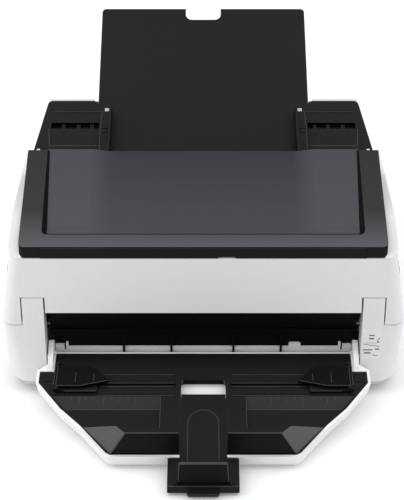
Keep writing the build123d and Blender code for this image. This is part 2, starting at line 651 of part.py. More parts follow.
with BuildPart() as upper_guide:
    with BuildSketch(PATH.offset(UPPER_GAP)):
        with Locations((0, 49)):
            Rectangle(2 * GUIDE_HALF, 110)
    extrude(amount=GUIDE_T)
    # Its front wall closes the mouth from above.
    front_foot = on(PATH, 0, -6, UPPER_GAP)
    with BuildSketch(Plane.YZ):
        with BuildLine():
            Polyline((front_foot.Y, front_foot.Z), (28.5, 100), (31, 100),
                     (front_foot.Y + 2.5, front_foot.Z + 1.6), close=True)
        make_face()
    extrude(amount=GUIDE_HALF, both=True)
    # Its rear wall is the throat that the sheets slide under.
    with BuildSketch(Plane.YZ):
        with BuildLine():
            Polyline((THROAT_Y + 1.5, 127), (THROAT_Y + 3, 131), (THROAT_Y + 3, 180.5), (THROAT_Y, 180.5),
                     (THROAT_Y, 127), close=True)
        make_face()
    extrude(amount=THROAT_HALF, both=True)
    # Ends that stiffen it.
    plate_end = on(PATH, 0, 103, UPPER_GAP)
    for side in (-1, 1):
        with BuildSketch(Plane.YZ.offset(side * (GUIDE_HALF - 1.5))):
            with BuildLine():
                Polyline((front_foot.Y + 1, front_foot.Z + 1), (31, 99), (60, 124), (THROAT_Y + 1, 150),
                         (THROAT_Y + 1, 128), (plate_end.Y, plate_end.Z), close=True)
            make_face()
        extrude(amount=1.5, both=True)
    # Ears that hold the two pinch rollers.
    for center in (FEED_PINCH_C, EJECT_PINCH_C):
        foot = PATH.to_local_coords(center).Z - UPPER_GAP - 0.5
        for side in (-1, 1):
            ear = Plane(origin=(side * PINCH_EAR_X, center.Y, center.Z), x_dir=PATH.y_dir, z_dir=(1, 0, 0))
            with BuildSketch(ear):
                with Locations((0, (5 - foot) / 2)):
                    Rectangle(14, 5 + foot)
                Circle(PINCH_SHAFT_R + RUN_FIT, mode=Mode.SUBTRACT)
            extrude(amount=1.5, both=True)
    # Larger ears join the plate to the throat and hold the brake shaft.
    for side in (-1, 1):
        with BuildSketch(Plane.YZ.offset(side * BRAKE_EAR_X)):
            with BuildLine():
                Polyline((126, 105.5), (124, 122), (140, 137), (157.4, 137), (157.4, 128), (150, 118),
                         (138, 110), close=True)
            make_face()
            with Locations((BRAKE_C.Y, BRAKE_C.Z)):
                Circle(BRAKE_SHAFT_R + RUN_FIT, mode=Mode.SUBTRACT)
        extrude(amount=1.5, both=True)
    # Windows in the plate for the pinch rollers and the glass.
    with BuildSketch(PATH):
        with Locations(*[(x, v) for x in FEED_XS for v in (FEED_V, EJECT_V)]):
            Rectangle(FEED_W + 4, 2 * PINCH_R)
        with Locations((0, GLASS_V)):
            Rectangle(2 * (GLASS_HALF + SLIP), GLASS_D + 2 * SLIP)
    extrude(amount=UPPER_GAP + GUIDE_T + SLIP, mode=Mode.SUBTRACT)

upper_scan_unit = scan_unit(UPPER_GAP + GUIDE_T, UPPER_GAP + GUIDE_T + 30)
upper_glass = scan_glass(UPPER_GAP + 0.3)

# ---------------------------------------------------------------- hopper
CHUTE_LOW_V, CHUTE_TOP_V = -96.0, 71.0
CHUTE_STEP_V = -13.0                # above this it is as wide as the machine
CHUTE_LOW_HALF = 182.0
CHUTE_TOP_HALF = 187.3
CHUTE_STEP_HALF = 205.0
EXTENSION_HALF = 127.5
EXTENSION_LOW_V = 45.0
RACK_V = -80.0
GUIDE_X = 110.0                     # inner face of each hopper side guide
# Side view of a guide's wall: distance up the hopper's slope, and height.
GUIDE_SIDE = [(-86, 0), (-86, 5), (-70, 34), (-30, 32), (10, 16), (52, 13), (56, 8), (56, 0)]

with BuildPart() as chute:
    with BuildSketch(HOPPER):
        with BuildLine():
            Polyline((-CHUTE_LOW_HALF, CHUTE_LOW_V), (-CHUTE_LOW_HALF, CHUTE_STEP_V),
                     (-CHUTE_STEP_HALF, CHUTE_STEP_V), (-CHUTE_TOP_HALF, CHUTE_TOP_V),
                     (CHUTE_TOP_HALF, CHUTE_TOP_V), (CHUTE_STEP_HALF, CHUTE_STEP_V),
                     (CHUTE_LOW_HALF, CHUTE_STEP_V), (CHUTE_LOW_HALF, CHUTE_LOW_V), close=True)
        make_face()
        fillet(vertices().group_by(Axis.Y)[-1], 6)
    extrude(amount=-CHUTE_THICK)
    chamfer(faces().filter_by(HOPPER).sort_by(Axis.Z)[-1].edges().sort_by(Axis.Z)[-1], 1.5)
    # The pocket that the extension slides into, open at the top end.
    with BuildSketch(HOPPER.offset(-SKIN)):
        with Locations((0, 3)):
            Rectangle(2 * (EXTENSION_HALF + SLIP), 140)
    extrude(amount=-(EXTENSION_T + SLIP), mode=Mode.SUBTRACT)
    # The slot that the side guides run in.
    with BuildSketch(HOPPER):
        with Locations((0, RACK_V)):
            Rectangle(2 * 166, 9)
    extrude(amount=-CHUTE_THICK, mode=Mode.SUBTRACT)
    # Cut-outs for the pick rollers.
    with BuildSketch(HOPPER):
        with Locations(*[(x, CHUTE_LOW_V) for x in PICK_XS]):
            Rectangle(PICK_W + 4, 18)
    extrude(amount=-CHUTE_THICK, mode=Mode.SUBTRACT)
    for side in (-1, 1):
        # A deep slot, a scored line and the outline of a cover plate on each wing.
        with BuildSketch(HOPPER):
            with Locations((side * 153.8, 35.2)):
                RectangleRounded(57.5, 8.4, 0.8)
        extrude(amount=-7.5, mode=Mode.SUBTRACT)
        with BuildSketch(HOPPER):
            with Locations((side * 150, 53)):
                Rectangle(57, 1.2)
            with Locations((side * 154.2, 7.3)):
                Rectangle(60, 1)
            for x in (124, 184):
                with Locations((side * x, 19)):
                    Rectangle(1, 23)
        extrude(amount=-0.8, mode=Mode.SUBTRACT)
        # Three small bridges inside the slot.
        with BuildSketch(HOPPER.offset(-7.5)):
            with Locations(*[(side * x, 35.2) for x in (134, 150, 168)]):
                Rectangle(4, 8.4)
        extrude(amount=4.5)
        # A small notch beside the extension.
        with BuildSketch(HOPPER):
            with Locations((side * 129, CHUTE_TOP_V)):
                RectangleRounded(4, 9, 1)
        extrude(amount=-SKIN, mode=Mode.SUBTRACT)

with BuildPart() as chute_extension:
    with BuildSketch(HOPPER.offset(-SKIN - SLIP / 2)):
        with Locations((0, (EXTENSION_LOW_V + EXTENSION_TIP_V) / 2)):
            Rectangle(2 * EXTENSION_HALF, EXTENSION_TIP_V - EXTENSION_LOW_V)
        fillet(vertices().group_by(Axis.Y)[-1], 5)
        with Locations((0, EXTENSION_TIP_V)):
            RectangleRounded(44, 34, 8, mode=Mode.SUBTRACT)
    extrude(amount=-EXTENSION_T)
    top_face = faces().filter_by(HOPPER).sort_by(Axis.Z)[-1]
    chamfer(top_face.edges().filter_by(GeomType.LINE).group_by(Axis.Y)[-1], 0.8)
    # Shallow lightening panels in its back.
    with BuildSketch(HOPPER.offset(-SKIN - SLIP / 2 - EXTENSION_T)):
        with Locations((0, 120)):
            with GridLocations(62, 0, 4, 1):
                RectangleRounded(54, 110, 5)
    extrude(amount=2, mode=Mode.SUBTRACT)


PINION_R = 9.0
RACK_W, RACK_T, RACK_LENGTH = 4.0, 4.0, 170.0
RACK_SHIFT = PINION_R + 0.4 + RACK_W / 2


def hopper_guide(side):
    """A side guide that stands on the chute, with the foot and rack that join it to its twin."""
    with BuildPart() as guide:
        wall_from, wall_to = side * GUIDE_X, side * (GUIDE_X + 10)
        # The upright wall, tall near the rollers and low at its free end.
        inner_face = Plane(origin=on(HOPPER, wall_from, 0, SLIP), x_dir=HOPPER.y_dir, z_dir=(side, 0, 0))
        with BuildSketch(inner_face):
            with BuildLine():
                Polyline(*[(v, side * height) for v, height in GUIDE_SIDE], close=True)
            make_face()
        extrude(amount=2.5)
        # The wide low body beside it.
        with BuildSketch(HOPPER.offset(SLIP)):
            with BuildLine():
                Polyline((wall_from, -86), (wall_from, 54), (side * (GUIDE_X + 11), 51),
                         (side * (GUIDE_X + 13), 26), (side * (GUIDE_X + 13), -86), close=True)
            make_face()
        extrude(amount=9)
        with BuildSketch(HOPPER.offset(SLIP + 9)):
            with Locations((side * (GUIDE_X + 7.5), 26), (side * (GUIDE_X + 7.5), 20)):
                Rectangle(11, 1.2)
        extrude(amount=-1.2, mode=Mode.SUBTRACT)
        # A foot through the slot of the chute.
        with BuildSketch(HOPPER.offset(SLIP)):
            with Locations((side * (GUIDE_X + 6), RACK_V)):
                Rectangle(12, 7)
        extrude(amount=-(SLIP + CHUTE_THICK + 1))
        # Its rack runs inward past one side of the pinion.
        with BuildSketch(HOPPER.offset(-CHUTE_THICK - 1)):
            with Locations((side * (GUIDE_X + 12 - RACK_LENGTH / 2), RACK_V - side * RACK_SHIFT)):
                Rectangle(RACK_LENGTH, RACK_W)
            with Locations((side * (GUIDE_X + 6), RACK_V - side * RACK_SHIFT / 2)):
                Rectangle(12, RACK_SHIFT + RACK_W)
        extrude(amount=-RACK_T)
    return guide


hopper_guide_left = hopper_guide(-1)
hopper_guide_right = hopper_guide(1)


with BuildPart() as guide_pinion:
    with BuildSketch(HOPPER.offset(-CHUTE_THICK - 1)):
        with Locations((0, RACK_V)):
            Circle(PINION_R)
            with PolarLocations(PINION_R, 18):
                Circle(0.8, mode=Mode.SUBTRACT)
    extrude(amount=-RACK_T)
    with BuildSketch(HOPPER.offset(-CHUTE_THICK - 1 - RACK_T)):
        with Locations((0, RACK_V)):
            Circle(3)
    extrude(amount=-5)

with BuildPart() as pinion_bracket:
    # A strap under the slot, on two legs, with the pinion's bearing in its middle.
    with BuildSketch(HOPPER.offset(-CHUTE_THICK - 1 - RACK_T - 0.5)):
        with Locations((0, RACK_V)):
            Rectangle(14, 44)
            Circle(3 + RUN_FIT, mode=Mode.SUBTRACT)
    extrude(amount=-3)
    with BuildSketch(HOPPER.offset(-CHUTE_THICK)):
        with Locations((0, RACK_V - 19), (0, RACK_V + 19)):
            Rectangle(14, 6)
    extrude(amount=-(RACK_T + 2))

# ---------------------------------------------------------------- stacker
# Half of the tray's outline in the stacker's plane: x, and distance up the slope.
TRAY_SIDE = [(160.5, 0), (160.5, -25), (175.9, -25), (175.9, -40), (150, -73), (127.7, -94.2), (99.5, -126.8),
             (95.0, -129.6)]
SHELL_DEEP = 15.0
POCKET_DEEP = 9.0
RIM = 2.8
CHANNEL_HALF = 23.8
STOP_TOP_Z = 50.5
STOP_FACE_Y = -107.0


def mirrored(half):
    """A closed outline from its right half, which runs from back to front."""
    return [*half, *[(-x, v) for x, v in reversed(half)]]


with BuildPart() as stacker_shell:
    with BuildSketch(STACKER.offset(1)):
        with BuildLine():
            Polyline(*mirrored(TRAY_SIDE), close=True)
        make_face()
        offset(amount=RIM, kind=Kind.INTERSECTION)
    extrude(amount=-(SHELL_DEEP + 1), taper=5)
    with BuildSketch(STACKER.offset(2)):
        with BuildLine():
            Polyline(*mirrored(TRAY_SIDE), close=True)
        make_face()
    extrude(amount=-(POCKET_DEEP + 2), mode=Mode.SUBTRACT)
    # The rear wall is low, so that the sheets drop over it.
    with BuildSketch(STACKER.offset(2)):
        with Locations((0, 1)):
            Rectangle(2 * 160.5, 4)
    extrude(amount=-3, mode=Mode.SUBTRACT)
    # Webs that join the arms to the rim's rear corners.
    for side in (-1, 1):
        with BuildSketch(STACKER.offset(1)):
            with BuildLine():
                Polyline((side * 162.4, -14), (side * 167.6, -15), (side * (175.9 + RIM), -24),
                         (side * 162.4, -24), close=True)
            make_face()
        extrude(amount=-5)
    # A notch in the front rim for the extension's tongue.
    with BuildSketch(STACKER.offset(2)):
        with Locations((0, -132)):
            Rectangle(2 * (CHANNEL_HALF + 0.4), 12)
    extrude(amount=-(POCKET_DEEP + 2), mode=Mode.SUBTRACT)
    # Arms that rise into the mouth and turn on the pins.
    for side in (-1, 1):
        with BuildSketch(Plane.YZ.offset(side * 165.2)):
            with BuildLine():
                Polyline((29, 44), (29, 51), (26.5, 55), (23, 54), (8, 46), (-4.2, 37.5), (-2.4, 25), (6, 27),
                         (22, 29), close=True)
            make_face()
            with Locations((STACKER_HINGE_Y, STACKER_HINGE_Z)):
                Circle(STACKER_PIN_R, mode=Mode.SUBTRACT)
        extrude(amount=2.8, both=True)

PIN_IN = 160.5 + RIM + 0.1          # a pin starts beside the shell's wall and ends in the pillar

with BuildPart() as stacker_pins:
    for side in (-1, 1):
        pin_start = Vector(side * PIN_IN, STACKER_HINGE_Y, STACKER_HINGE_Z)
        with BuildSketch(Plane(origin=pin_start, x_dir=(0, 1, 0), z_dir=(side, 0, 0))):
            Circle(STACKER_PIN_R)
        extrude(amount=COLUMN_IN + 5 - PIN_IN)

STOP_IN, STOP_OUT = 24.4, 78.0      # a stop's upper edge, from the channel outward

STOP_FOOT = 95.5                    # the face's lower outer corner
STOP_TAIL = (127.0, -74.0)          # where its gusset runs out along the slanting edge


def output_stop(side):
    """A raised stop at the tray's front with a gusset that falls away along the slanting edge."""
    top_corner = Vector(side * STOP_OUT, STOP_FACE_Y, STOP_TOP_Z)
    foot_corner = Vector(side * STOP_FOOT, STOP_FACE_Y, 18.5)
    tail = Vector(side * STOP_TAIL[0], STOP_TAIL[1], 23.5)
    normal = (foot_corner - top_corner).cross(tail - top_corner).normalized()
    if normal.Z < 0:
        normal = -normal
    with BuildPart() as stop:
        with BuildSketch(Plane.XY.offset(17.5)):
            with BuildLine():
                Polyline((side * STOP_IN, STOP_FACE_Y), (side * STOP_FOOT, STOP_FACE_Y),
                         (side * STOP_TAIL[0], STOP_TAIL[1]), (side * (STOP_OUT - 1), STOP_FACE_Y + 3),
                         (side * STOP_IN, STOP_FACE_Y + 3), close=True)
            make_face()
        extrude(amount=STOP_TOP_Z - 17.5)
        split(bisect_by=Plane(origin=top_corner, z_dir=normal), keep=Keep.BOTTOM)
    return stop.part


RECESS_REAR_V, RECESS_FRONT_V = -57.0, -97.0
RECESS_MIDDLE = 91.0                # width of the raised middle between the two recesses

with BuildPart() as recess_cutter:
    # The lowered floor on each side of the tray, reached by a ramp at its rear.
    with BuildSketch(STACKER):
        with BuildLine():
            Polyline(*mirrored(TRAY_SIDE), close=True)
        make_face()
        offset(amount=-3, kind=Kind.INTERSECTION)
        with Locations((0, (RECESS_REAR_V + RECESS_FRONT_V) / 2)):
            Rectangle(400, RECESS_REAR_V - RECESS_FRONT_V, mode=Mode.INTERSECT)
            Rectangle(RECESS_MIDDLE, 60, mode=Mode.SUBTRACT)
    extrude(amount=-5)
    ramp = Plane(origin=on(STACKER, 0, 0, 0), x_dir=STACKER.y_dir, z_dir=(1, 0, 0))
    with BuildSketch(ramp):
        with BuildLine():
            Polyline((RECESS_REAR_V, 0), (RECESS_REAR_V, -5), (RECESS_REAR_V - 14, -5), close=True)
        make_face()
    extrude(amount=200, both=True, mode=Mode.SUBTRACT)

RAIL_VS = (-28, -55)

with BuildPart() as stacker_tray:
    with BuildSketch(STACKER):
        with BuildLine():
            Polyline(*mirrored(TRAY_SIDE), close=True)
        make_face()
        offset(amount=-0.3, kind=Kind.INTERSECTION)
    extrude(amount=-(POCKET_DEEP - 0.4))
    add(recess_cutter.part, mode=Mode.SUBTRACT)
    for side in (-1, 1):
        add(output_stop(side))
    # Nothing of it reaches past the pocket of the shell.
    with BuildSketch(STACKER.offset(0.4 - POCKET_DEEP)):
        with BuildLine():
            Polyline(*mirrored(TRAY_SIDE), close=True)
        make_face()
        offset(amount=-0.3, kind=Kind.INTERSECTION)
    extrude(amount=60, mode=Mode.INTERSECT)
    # The channel of the extension and, behind it, the finger window.
    with BuildSketch(STACKER.offset(40)):
        with Locations((0, -85)):
            Rectangle(2 * CHANNEL_HALF, 100)
        fillet(vertices().group_by(Axis.Y)[-1], 4)
    extrude(amount=-60, mode=Mode.SUBTRACT)
    for side in (-1, 1):
        with BuildSketch(STACKER):
            # The groove that the side guide's key runs in, two rail lines and a small slot.
            with Locations((side * 94, -42)):
                Rectangle(130, 3.6)
        extrude(amount=-2.6, mode=Mode.SUBTRACT)
        with BuildSketch(STACKER):
            with Locations(*[(side * 92, v) for v in RAIL_VS]):
                Rectangle(122, 1.2)
            with Locations((side * 165.5, -39)):
                Rectangle(9, 3)
        extrude(amount=-0.8, mode=Mode.SUBTRACT)

TONGUE_REAR_V = -54.0
HEAD_V, HEAD_HALF = -133.2, 36.0
STOPPER_V, STOPPER_H = -161.0, 2.6      # the stopper's hinge line, above the head
STOPPER_PIN_R = 1.5
ARCH_TOP_V, ARCH_FOOT_V = -73.4, -139.0
ARCH_HALF, ARCH_LINE, ARCH_LONG = 16.6, 1.2, 50.0

with BuildPart() as output_extension:
    with BuildSketch(STACKER.offset(-0.5)):
        with Locations((0, (TONGUE_REAR_V + HEAD_V - 3) / 2)):
            Rectangle(2 * (CHANNEL_HALF - SLIP), TONGUE_REAR_V - HEAD_V + 3)
    extrude(amount=-(POCKET_DEEP - 1))
    # The head, with a front lip that leans forward.
    head_side = Plane(origin=on(STACKER, 0, 0, 0), x_dir=STACKER.y_dir, z_dir=(1, 0, 0))
    with BuildSketch(head_side):
        with BuildLine():
            Polyline((HEAD_V, 0), (-165.5, 0), (-168, -7), (-167, -10), (HEAD_V, -10.5), close=True)
        make_face()
    extrude(amount=HEAD_HALF, both=True)
    # Two lugs on the head for the stopper's pin.
    for side in (-1, 1):
        with BuildSketch(Plane(origin=on(STACKER, side * 27.5, 0, 0), x_dir=STACKER.y_dir, z_dir=(1, 0, 0))):
            with BuildLine():
                Polyline((STOPPER_V - 3, -1), (STOPPER_V - 3, 4), (STOPPER_V - 1.5, 5.2),
                         (STOPPER_V + 1.5, 5.2), (STOPPER_V + 3, 4), (STOPPER_V + 3, -1), close=True)
            make_face()
            with Locations((STOPPER_V, STOPPER_H)):
                Circle(STOPPER_PIN_R + RUN_FIT, mode=Mode.SUBTRACT)
        extrude(amount=1.2, both=True)
    # A tab for a finger in front of it.
    with BuildSketch(STACKER.offset(STACKER_TIP_H)):
        with BuildLine():
            Polyline((-18, -164), (-15.4, STACKER_TIP_V), (15.4, STACKER_TIP_V), (18, -164), close=True)
        make_face()
        fillet(vertices().group_by(Axis.Y)[0], 2)
    extrude(amount=-5.5)
    # An arch-shaped groove marks where the stopper folds down.
    with BuildSketch(STACKER):
        with Locations((0, ARCH_TOP_V - ARCH_LONG)):
            SlotOverall(2 * ARCH_LONG, 2 * ARCH_HALF, rotation=90)
            SlotOverall(2 * (ARCH_LONG - ARCH_LINE), 2 * (ARCH_HALF - ARCH_LINE), rotation=90,
                        mode=Mode.SUBTRACT)
        with Locations((0, ARCH_FOOT_V - ARCH_LONG)):
            Rectangle(3 * ARCH_HALF, 2 * ARCH_LONG, mode=Mode.SUBTRACT)
    extrude(amount=-1.2, mode=Mode.SUBTRACT)

STOPPER_TALL = 26.0

with BuildPart() as stopper_flap:
    with BuildSketch(Plane(origin=on(STACKER, 0, STOPPER_V, STOPPER_H), x_dir=(1, 0, 0), z_dir=(0, -1, 0))):
        with BuildLine():
            Polyline((-25.6, -1.2), (-24, STOPPER_TALL), (24, STOPPER_TALL), (25.6, -1.2), close=True)
        make_face()
        fillet(vertices().group_by(Axis.Y)[-1], 1.5)
    extrude(amount=1.2, both=True)
    with BuildSketch(across(on(STACKER, 0, STOPPER_V, STOPPER_H))):
        Circle(STOPPER_PIN_R)
    extrude(amount=28.5, both=True)

CARRIER_IN, CARRIER_OUT = 113.0, 159.5
FLAP_AXIS_X, FLAP_AXIS_H = 155.0, 5.8
CARRIER_H = 0.4


def along_slope(x, v, height):
    """A plane that looks up the stacker's slope; its x axis is the frame's own."""
    return Plane(origin=on(STACKER, x, v, height), x_dir=(1, 0, 0), z_dir=STACKER.y_dir)


def stacker_carrier(side):
    """The sliding foot of an output side guide, with a key in the tray's groove and two hinge lugs."""
    with BuildPart() as carrier:
        with BuildSketch(STACKER.offset(CARRIER_H)):
            with BuildLine():
                Polyline((side * CARRIER_IN, -52.5), (side * CARRIER_IN, -47), (side * 124, -20.5),
                         (side * 150, -17.5), (side * CARRIER_OUT, -17.5), (side * CARRIER_OUT, -50),
                         (side * 147, -52.5), close=True)
            make_face()
        extrude(amount=2.6)
        with BuildSketch(STACKER.offset(CARRIER_H)):
            with Locations((side * 140, -42)):
                Rectangle(36, 2.8)
        extrude(amount=-2.6)
        for v in (-52.5, -20.5):
            with BuildSketch(along_slope(side * FLAP_AXIS_X, v, FLAP_AXIS_H)):
                Circle(2.8)
                with Locations((0, 1.6)):
                    Rectangle(5.6, 3.2)
                Circle(1.5 + RUN_FIT, mode=Mode.SUBTRACT)
            extrude(amount=3)
    return carrier


def stacker_guide(side):
    """An output side guide, folded flat: it swings up about a pin along its outer edge."""
    with BuildPart() as flap:
        with BuildSketch(STACKER.offset(FLAP_AXIS_H - 1.4)):
            with BuildLine():
                Polyline((side * 156.4, -21), (side * 123, -22), (side * 114, -26.5), (side * 100.6, -41.5),
                         (side * 131, -48.6), (side * 156.4, -48.6), close=True)
            make_face()
        extrude(amount=2.8)
        with BuildSketch(along_slope(side * FLAP_AXIS_X, -52.5, FLAP_AXIS_H)):
            Circle(1.5)
        extrude(amount=35)
    return flap


stacker_carrier_left = stacker_carrier(-1)
stacker_carrier_right = stacker_carrier(1)
stacker_guide_left = stacker_guide(-1)
stacker_guide_right = stacker_guide(1)

# ---------------------------------------------------------------- electronics and rear connectors
with BuildPart() as power_supply:
    with Locations((-118, 232, 42)):
        Box(112, 84, 44)
    chamfer(edges().filter_by(Axis.Z), 2)

with BuildPart() as main_board:
    with BuildSketch(Plane.XY.offset(24)):
        with Locations((50, 245)):
            Rectangle(180, 96)
    extrude(amount=1.6)
    with BuildSketch(Plane.XY.offset(25.6)):
        with Locations((50, 250)):
            Rectangle(32, 32)
        with Locations((0, 225), (100, 225)):
            Rectangle(24, 14)
    extrude(amount=3)
    with BuildSketch(Plane.XY.offset(25.6)):
        with Locations((120, 275), (105, 275), (-20, 270)):
            Circle(5)
    extrude(amount=14)

REAR_FACE = Plane.XZ.offset(-BACK_Y)


def rear_body(spot, size, depth):
    """A block that fills one opening of the rear wall, flush with it."""
    with BuildPart() as block:
        with BuildSketch(REAR_FACE):
            with Locations(spot):
                Rectangle(size[0] - 0.2, size[1] - 0.2)
        extrude(amount=depth)
    return block.part


with BuildPart() as power_inlet:
    add(rear_body(INLET_SPOT, INLET_SIZE, 22))
    with BuildSketch(REAR_FACE):
        with Locations(INLET_SPOT):
            RectangleRounded(23, 15.5, 3)
    extrude(amount=16, mode=Mode.SUBTRACT)
    # Three blades in the socket.
    with BuildSketch(REAR_FACE.offset(16)):
        with Locations(INLET_SPOT):
            with Locations((-7, -1.5), (0, 2), (7, -1.5)):
                Rectangle(2, 4)
    extrude(amount=-12)

with BuildPart() as usb_port:
    add(rear_body(PORT_SPOT, PORT_SIZE, 18))
    with BuildSketch(REAR_FACE):
        with Locations(PORT_SPOT):
            Rectangle(9.4, 8.6)
    extrude(amount=10, mode=Mode.SUBTRACT)
    with BuildSketch(REAR_FACE.offset(10)):
        with Locations(PORT_SPOT):
            Rectangle(5.6, 3.4)
    extrude(amount=-8.5)

ROCKER_Y = BACK_Y - 5
ROCKER_PIN_R = 1.2

with BuildPart() as switch_frame:
    add(rear_body(SWITCH_SPOT, SWITCH_SIZE, 16))
    with BuildSketch(REAR_FACE):
        with Locations(SWITCH_SPOT):
            Rectangle(11, 17)
    extrude(amount=12, mode=Mode.SUBTRACT)
    with BuildSketch(across(Vector(0, ROCKER_Y, SWITCH_SPOT[1]))):
        Circle(ROCKER_PIN_R + RUN_FIT)
    extrude(amount=2 * SWITCH_SPOT[0], mode=Mode.SUBTRACT)

with BuildPart() as power_switch:
    # A rocker with two faces at a shallow angle, on a pin across its middle.
    with BuildSketch(Plane.YZ.offset(SWITCH_SPOT[0])):
        with BuildLine():
            Polyline((ROCKER_Y - 4, SWITCH_SPOT[1] - 6.5), (ROCKER_Y + 5, SWITCH_SPOT[1] - 7.2),
                     (ROCKER_Y + 3, SWITCH_SPOT[1]), (ROCKER_Y + 3.6, SWITCH_SPOT[1] + 7.2),
                     (ROCKER_Y - 4, SWITCH_SPOT[1] + 6.5), close=True)
        make_face()
    extrude(amount=5, both=True)
    with BuildSketch(Plane.YZ.offset(SWITCH_SPOT[0])):
        with Locations((ROCKER_Y, SWITCH_SPOT[1])):
            Circle(ROCKER_PIN_R)
    extrude(amount=6.7, both=True)

# ---------------------------------------------------------------- operator panels, one on each flank
with BuildPart() as panel_bezels:
    for side in (-1, 1):
        with BuildSketch(flank_plane(side)):
            RectangleRounded(*PANEL_SIZE, 7)
            for along, up, radius in BUTTONS.values():
                with Locations((along, panel_y(side, up))):
                    Circle(radius + 0.4, mode=Mode.SUBTRACT)
        extrude(amount=PANEL_PROUD)
        with BuildSketch(flank_plane(side).offset(PANEL_PROUD)):
            with Locations((-13, panel_y(side, 3))):
                Rectangle(30, 17)
        extrude(amount=-1, mode=Mode.SUBTRACT)

with BuildPart() as panel_displays:
    for side in (-1, 1):
        with BuildSketch(flank_plane(side).offset(PANEL_PROUD - 1)):
            with Locations((-13, panel_y(side, 3))):
                Rectangle(29.8, 16.8)
        extrude(amount=0.8)


def panel_button(kind, side):
    """A push button that stands a little proud of its bezel."""
    along, up, radius = BUTTONS[kind]
    with BuildPart() as button:
        with BuildSketch(flank_plane(side).offset(-0.6)):
            with Locations((along, panel_y(side, up))):
                Circle(radius)
        extrude(amount=PANEL_PROUD + 0.6 + TRAVEL)
        fillet(edges().filter_by(GeomType.CIRCLE).sort_by(Axis.X)[-1 if side > 0 else 0], 0.4)
    return button


scan_button_left = panel_button("scan", -1)
scan_button_right = panel_button("scan", 1)
menu_button_left = panel_button("menu", -1)
menu_button_right = panel_button("menu", 1)


def write_all(pieces):
    """Write every piece under its own name."""
    for name, piece in pieces.items():
        write(piece, name)


write_all({
    "lower_casing": lower_casing, "base_pan": base_pan, "rubber_feet": rubber_feet,
    "rear_casing": rear_casing, "upper_casing": upper_casing, "top_cover": top_cover,
    "release_handle": release_handle, "side_frame_left": side_frame_left,
    "side_frame_right": side_frame_right, "hinge_pins": hinge_pins, "lower_guide": lower_guide,
    "exit_strip": exit_strip, "lower_scan_unit": lower_scan_unit, "lower_glass": lower_glass,
    "upper_guide": upper_guide, "upper_scan_unit": upper_scan_unit, "upper_glass": upper_glass,
    "pick_shaft": pick_shaft, "feed_shaft": feed_shaft, "eject_shaft": eject_shaft,
    "brake_shaft": brake_shaft, "pick_tyres": pick_tyres, "feed_tyres": feed_tyres,
    "eject_tyres": eject_tyres, "brake_tyres": brake_tyres, "feed_pinch_roller": feed_pinch_roller,
    "eject_pinch_roller": eject_pinch_roller, "pick_pulley": pick_pulley, "feed_pulley": feed_pulley,
    "eject_pulley": eject_pulley, "motor_pulley": motor_pulley, "drive_belt": drive_belt,
    "drive_motor": drive_motor, "chute": chute, "chute_extension": chute_extension,
    "hopper_guide_left": hopper_guide_left, "hopper_guide_right": hopper_guide_right,
    "guide_pinion": guide_pinion, "pinion_bracket": pinion_bracket, "stacker_shell": stacker_shell,
    "stacker_tray": stacker_tray, "stacker_pins": stacker_pins, "output_extension": output_extension,
    "stopper_flap": stopper_flap, "stacker_carrier_left": stacker_carrier_left,
    "stacker_carrier_right": stacker_carrier_right, "stacker_guide_left": stacker_guide_left,
    "stacker_guide_right": stacker_guide_right, "power_supply": power_supply, "main_board": main_board,
    "power_inlet": power_inlet, "usb_port": usb_port, "switch_frame": switch_frame,
    "power_switch": power_switch, "panel_bezels": panel_bezels, "panel_displays": panel_displays,
    "scan_button_left": scan_button_left, "scan_button_right": scan_button_right,
    "menu_button_left": menu_button_left, "menu_button_right": menu_button_right,
})
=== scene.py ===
import math

import bmesh
import bpy
from mathutils import Matrix, Vector


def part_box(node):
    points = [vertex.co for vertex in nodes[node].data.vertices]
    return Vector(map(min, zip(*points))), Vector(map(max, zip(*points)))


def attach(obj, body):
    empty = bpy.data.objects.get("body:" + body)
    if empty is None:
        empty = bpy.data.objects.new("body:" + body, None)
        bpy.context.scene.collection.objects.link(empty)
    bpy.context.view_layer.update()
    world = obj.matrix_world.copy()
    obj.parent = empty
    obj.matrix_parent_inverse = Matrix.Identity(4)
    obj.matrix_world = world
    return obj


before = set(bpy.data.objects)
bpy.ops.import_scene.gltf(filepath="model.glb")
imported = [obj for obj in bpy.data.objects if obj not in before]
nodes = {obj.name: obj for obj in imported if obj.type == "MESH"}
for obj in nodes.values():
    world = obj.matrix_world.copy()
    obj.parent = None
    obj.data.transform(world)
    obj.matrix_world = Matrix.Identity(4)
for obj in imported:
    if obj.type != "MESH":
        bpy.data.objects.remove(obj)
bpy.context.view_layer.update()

scene = bpy.context.scene

# ---------------------------------------------------------------- places, in the CAD's own drawing frame (mm)
MM = 0.001
BACK_Y = 305.0                                      # the rear wall, from the foot of the front face
SHIFT_Y = BACK_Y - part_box("lower_casing")[1].y / MM     # from the drawing frame to the shared frame
LEAN = 14.0                                         # the front face leans back by this much
FOOT_Z = 10.0


def slope(y, z, degrees):
    """A matrix for a plane that rises towards the back: x across, y up its slope, z off its surface."""
    turn = Matrix.Rotation(math.radians(degrees), 4, "X")
    return Matrix.Translation((0, (y - SHIFT_Y) * MM, z * MM)) @ turn @ Matrix.Scale(MM, 4)


TRAY_TILT = 10.0
HOPPER = slope(242, 162, 29)                        # the chute's surface, under the sheets
COVER = slope(40.8, 170.9, 20)                      # the top of the black cover
STACKER = slope(20, 41.2, TRAY_TILT)                # the output tray's surface
FRONT = slope(0, FOOT_Z, 90 - LEAN)                 # its y runs up the front face, its z points out of it


